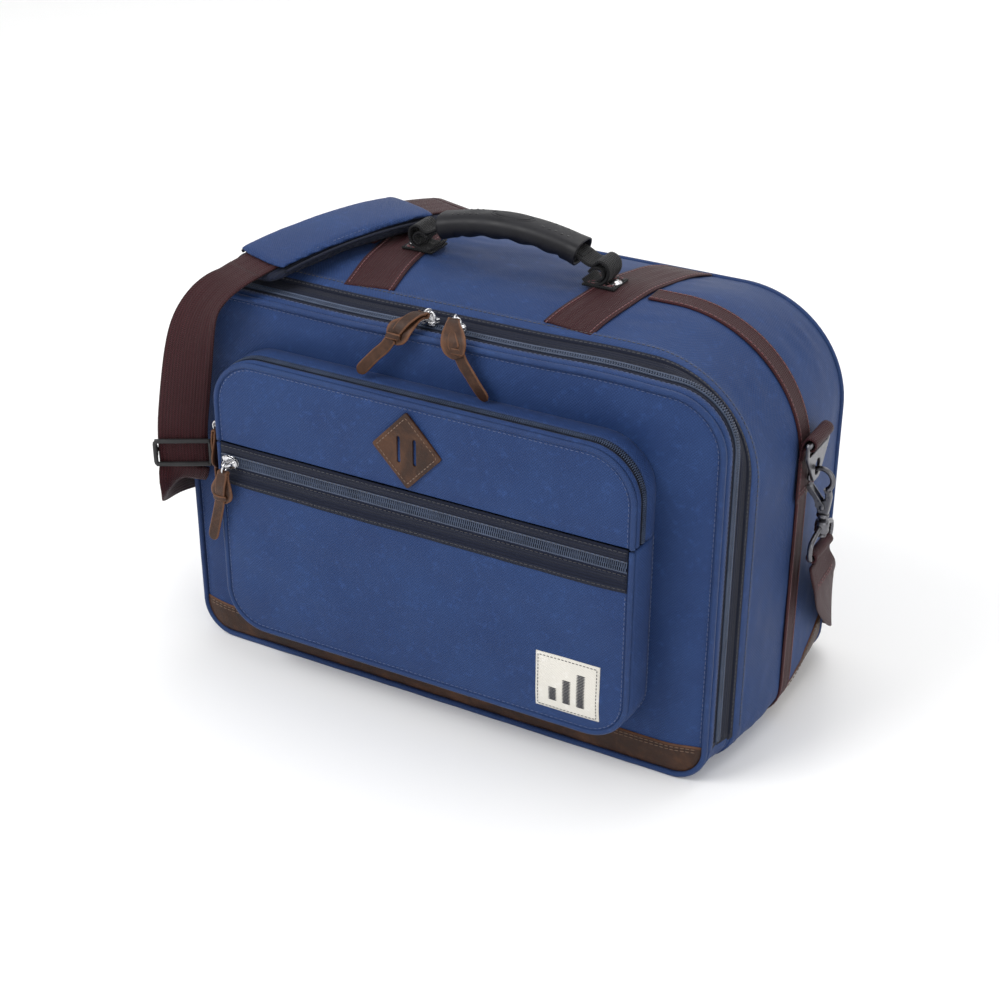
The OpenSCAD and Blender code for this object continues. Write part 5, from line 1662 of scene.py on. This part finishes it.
def strap_run(route, sides, step=3.5):
    """Smooth centre line and width directions through the given points."""
    route = np.array([np.asarray(p, float) for p in route])
    p = smooth_path(route, step)
    s = lengths(p)
    keys = [s[np.argmin(np.linalg.norm(p - q, axis=1))] for q in route]
    keys = np.maximum.accumulate(np.array(keys) + np.arange(len(keys)) * 1e-6)
    sides = np.array([np.asarray(v, float) for v in sides])
    w = np.column_stack([np.interp(s, keys, sides[:, k]) for k in range(3)])
    for _ in range(9):
        w[1:-1] = (w[:-2] + 2 * w[1:-1] + w[2:]) / 4
        p[1:-1] = (p[:-2] + 2 * p[1:-1] + p[2:]) / 4
    return p, unit(w)


def end_loop(side):
    """Path of the strap's end round the lower bar of an eye."""
    a = np.radians(np.linspace(-90, 250, 26))
    return mirror_x([(SHANK_X + 3.35 * math.cos(q), 0, EYE_Z + 3.35 * math.sin(q)) for q in a], side)


SEWN = 6  # point of the strap's path where its end is sewn down


def strap():
    """The strap's four runs. Two of them end in a loop round an eye, sewn down with two rows."""
    for name, route, sides, node, side in (
            ("strap_drop_webbing", DROP, DROP_SIDE, ("strap_drop",), 0),
            ("strap_return_webbing", RETURN, RETURN_SIDE, ("strap_return",), -1),
            ("strap_rear_webbing", REAR, REAR_SIDE, ("strap_rear",), 1)):
        p, w = strap_run(route, sides)
        obj = strip(name, p, w, 19, 1.9, 11)
        if side:
            loop = strip("end_loop", end_loop(side), (0, 1, 0), 17.8, 1.7, 11)
            obj = join(name, [obj, loop])
        finish_piece(obj, MAROON, "case", node)
        if side:
            k = SEWN if side > 0 else len(p) - 1 - SEWN
            out = np.cross(tangents(p), w)[k]
            out = out * (1 if out[0] * side > 0 else -1)
            mid = p[k] + out * 1.25
            runs = [([mid - w[k] * 15 - [0, 0, dz], mid + w[k] * 15 - [0, 0, dz]], out) for dz in (0, 3)]
            sewn = stitches(name.replace("webbing", "end_stitches"), runs, 3.6, (1.3, 0.4, 0.35))
            finish_piece(sewn, MAROON_THREAD, "case")
    arc = np.array([pad_point(MID_R, a) for a in np.linspace(-14.2, 10.5, 60)])
    finish_piece(strip("strap_over_top_webbing", arc, PAD_SIDE, 19, 1.9, 9), MAROON, "case",
                 ("strap_over_top",))


strap()


# ---------------------------------------------------------------- shoulder pad
def pad_slab(name, a0, a1, half, r0, r1, nose0, nose1, crown, n=64, m=25):
    """Soft slab along the pad's arc with rounded ends and edges."""
    top, low = [], []
    for i in range(n):
        t = i / (n - 1)
        a = a0 + (a1 - a0) * t
        arc_len = math.radians(a - a0) * PAD_R
        tail = math.radians(a1 - a) * PAD_R
        w = half
        if arc_len < nose0:
            w = half * math.sqrt(max(0.0, 1 - (1 - arc_len / nose0) ** 2)) * 0.5 + half * 0.5
        if tail < nose1:
            w = half * math.sqrt(max(0.0, 1 - (1 - tail / nose1) ** 2)) * 0.5 + half * 0.5
        for j in range(m):
            v = math.sin((j / (m - 1) - 0.5) * math.pi)
            edge = min(1.0, min(arc_len, tail) / 5 + 0.15)
            fat = math.sqrt(max(0.0, 1 - abs(v) ** 4.5)) * min(1, math.sqrt(edge))
            mid = (r0 + r1) / 2
            bulge = crown * fat * (1 - v * v) * math.sin(math.pi * t)
            top.append(pad_point(mid + (r1 - mid) * fat + bulge, a, v * w))
            low.append(pad_point(mid - (mid - r0) * fat, a, v * w))
    face, back = np.reshape(top, (n, m, 3)), np.reshape(low, (n, m, 3))
    uv = [(v * half, t * math.radians(a1 - a0) * PAD_R) for t in np.linspace(0, 1, n)
          for v in np.linspace(-1, 1, m)]
    obj = sheet(name, face, back, uv)
    fix_normals(obj)
    return obj


def inflate(obj, voxel, pressure, cap):
    """Cloth swell: remesh, short pressure run, cap how far each point moved, keep the result as the mesh."""
    bpy.context.view_layer.objects.active = obj
    mod = obj.modifiers.new("remesh", "REMESH")
    mod.mode = "VOXEL"
    mod.voxel_size = voxel * MM
    dg = bpy.context.evaluated_depsgraph_get()
    mesh = bpy.data.meshes.new_from_object(obj.evaluated_get(dg))
    obj.modifiers.clear()
    obj.data = mesh
    start = np.array([v.co for v in mesh.vertices])
    cloth = obj.modifiers.new("cloth", "CLOTH")
    st = cloth.settings
    st.quality = 6
    st.mass = 0.15
    st.tension_stiffness = st.compression_stiffness = 12
    st.bending_stiffness = 0.6
    st.use_pressure = True
    st.uniform_pressure_force = pressure
    st.effector_weights.gravity = 0
    cloth.collision_settings.use_collision = False
    scene = bpy.context.scene
    for f in range(1, 21):
        scene.frame_set(f)
    dg = bpy.context.evaluated_depsgraph_get()
    out = np.array([v.co for v in obj.evaluated_get(dg).data.vertices])
    obj.modifiers.clear()
    scene.frame_set(1)
    if out.shape == start.shape:
        move = out - start
        size = np.linalg.norm(move, axis=1, keepdims=True)
        move *= np.minimum(1, cap * MM / np.maximum(size, 1e-9))
        mesh.vertices.foreach_set("co", (start + move).ravel())
    mesh.polygons.foreach_set("use_smooth", [True] * len(mesh.polygons))
    layer = mesh.uv_layers.new(name="flat")
    index = np.zeros(len(mesh.loops), int)
    mesh.loops.foreach_get("vertex_index", index)
    co = np.array([v.co for v in mesh.vertices]) / MM
    u = (co - PAD_O) @ PAD_SIDE
    v = (co - PAD_O) @ np.array([math.cos(TURN), math.sin(TURN), 0])
    layer.data.foreach_set("uv", (np.column_stack([u, v])[index] * MM).ravel())
    mesh.update()
    sub = obj.modifiers.new("fine", "SUBSURF")
    sub.levels = sub.render_levels = 1
    return obj


PAD_BASE = pad_slab("shoulder_pad_base", -13.5, 9.3, 28.5, PAD_R + 0.9, PAD_R + 8.2, 16, 16, 0.0)
PAD_TOP = pad_slab("shoulder_pad_sleeve", -12.0, 6.3, 27.2, PAD_R + 9.0, PAD_R + 13.6, 3, 3, 1.2)
for piece, fill in ((inflate(PAD_BASE, 2.4, 3.0, 1.6), 0.5), (inflate(PAD_TOP, 1.8, 2.0, 1.2), 0.35)):
    is_base = piece is PAD_BASE
    finish_piece(piece, NAVY if is_base else BLUE, "shoulder_pad",
                 ("pad_base",) if is_base else ("pad_cover",))


def pad_trim():
    """Cords along the sleeve's long edges and a border of stitches on it."""
    parts = []
    for v in (-28.0, 28.0):
        p = np.array([pad_point(PAD_R + 8.7, a, v) for a in np.linspace(-11.5, 5.8, 60)])
        parts.append(tube("cord", p, 1.3, 8))
    finish_piece(join("shoulder_pad_piping", parts), NAVY, "shoulder_pad")
    runs = []
    for v in (-23.5, 23.5):
        p = np.array([pad_point(PAD_R + 12.9, a, v) for a in np.linspace(-11.4, 5.7, 80)])
        runs.append((p, (0, 0, 1)))
    for a in (-11.4, 5.7):
        runs.append((np.array([pad_point(PAD_R + 13.5 - abs(v) * 0.02, a, v)
                               for v in np.linspace(-22, 22, 20)]), (0, 0, 1)))
    sew("shoulder_pad_stitches", runs, 3.8, (1.3, 0.34, 0.3), BLUE_THREAD, "shoulder_pad")


pad_trim()


# ---------------------------------------------------------------- inside and stage
outline_2d = mirrored([(-182, 82), (-184, 80), (-184, -82), (-182, -84)])
finish_piece(plate("base_stiffener", [outline_2d], 2.4, 0.6,
                   axes((1, 0, 0), (0, 1, 0), (0, 0, 1), (0, 0, 5.4)), 2),
             PLASTIC, "case", ("base_board",))


def aim(data, at, target):
    """Adds a camera or light at a place in metres, looking at target."""
    obj = bpy.data.objects.new(data.name, data)
    bpy.context.scene.collection.objects.link(obj)
    at, target = Vector(at), Vector(target)
    obj.matrix_world = Matrix.Translation(at) @ (target - at).to_track_quat("-Z", "Y").to_matrix().to_4x4()
    return obj


# the photo's viewpoint: places in metres, focal length and film width in mm, roll in degrees
VIEW_FROM, VIEW_AT = (0.6156, -1.1431, 0.8238), (-0.010, 0.0, 0.120)
FOCAL_LENGTH, FILM_WIDTH, ROLL = 67.8, 36.0, 0.2
# name, place in metres, height aimed at, width of the lamp in metres, watts
LAMPS = (("key", (-1.4, -1.9, 2.3), 0.15, 1.6, 56),
         ("fill", (2.3, -1.2, 1.3), 0.15, 1.8, 20),
         ("top", (0.2, 0.9, 2.6), 0.2, 2.0, 28))
SKY_STRENGTH = 0.62


def camera():
    cam = bpy.data.cameras.new("camera")
    cam.lens, cam.sensor_width = FOCAL_LENGTH, FILM_WIDTH
    obj = aim(cam, VIEW_FROM, VIEW_AT)
    obj.matrix_world = obj.matrix_world @ Matrix.Rotation(math.radians(ROLL), 4, "Z")
    bpy.context.scene.camera = obj


def stage():
    """Pale floor that curves up behind the bag, three soft lamps and an even sky."""
    size, back, high, r = 4000.0, 2600.0, 2600.0, 900.0  # mm, r is the floor's turn up the wall
    profile = [(-size, 0.0), (0, 0.0), (back - r, 0.0)]
    profile += [(back - r + r * math.sin(a), r - r * math.cos(a)) for a in np.linspace(0.1, math.pi / 2, 12)]
    profile.append((back, high))
    verts = [(x, y, z - 0.02) for y, z in profile for x in (-size, size)]
    floor = mesh_object("floor", verts, [(k, k + 1, k + 3, k + 2) for k in range(0, 2 * len(profile) - 2, 2)])
    floor.data.materials.append(shade("floor_paper", (0.94, 0.94, 0.94), 0.9)[0])
    for name, at, aim_z, size, power in LAMPS:
        light = bpy.data.lights.new(name, "AREA")
        light.shape, light.size, light.energy = "SQUARE", size, power
        aim(light, at, (0, 0, aim_z))
    world = bpy.data.worlds.new("studio")
    world.use_nodes = True
    sky = world.node_tree.nodes["Background"].inputs
    sky[0].default_value = (1, 1, 1, 1)
    sky[1].default_value = SKY_STRENGTH
    bpy.context.scene.world = world
    bpy.context.scene.view_settings.view_transform = "Standard"


camera()
stage()
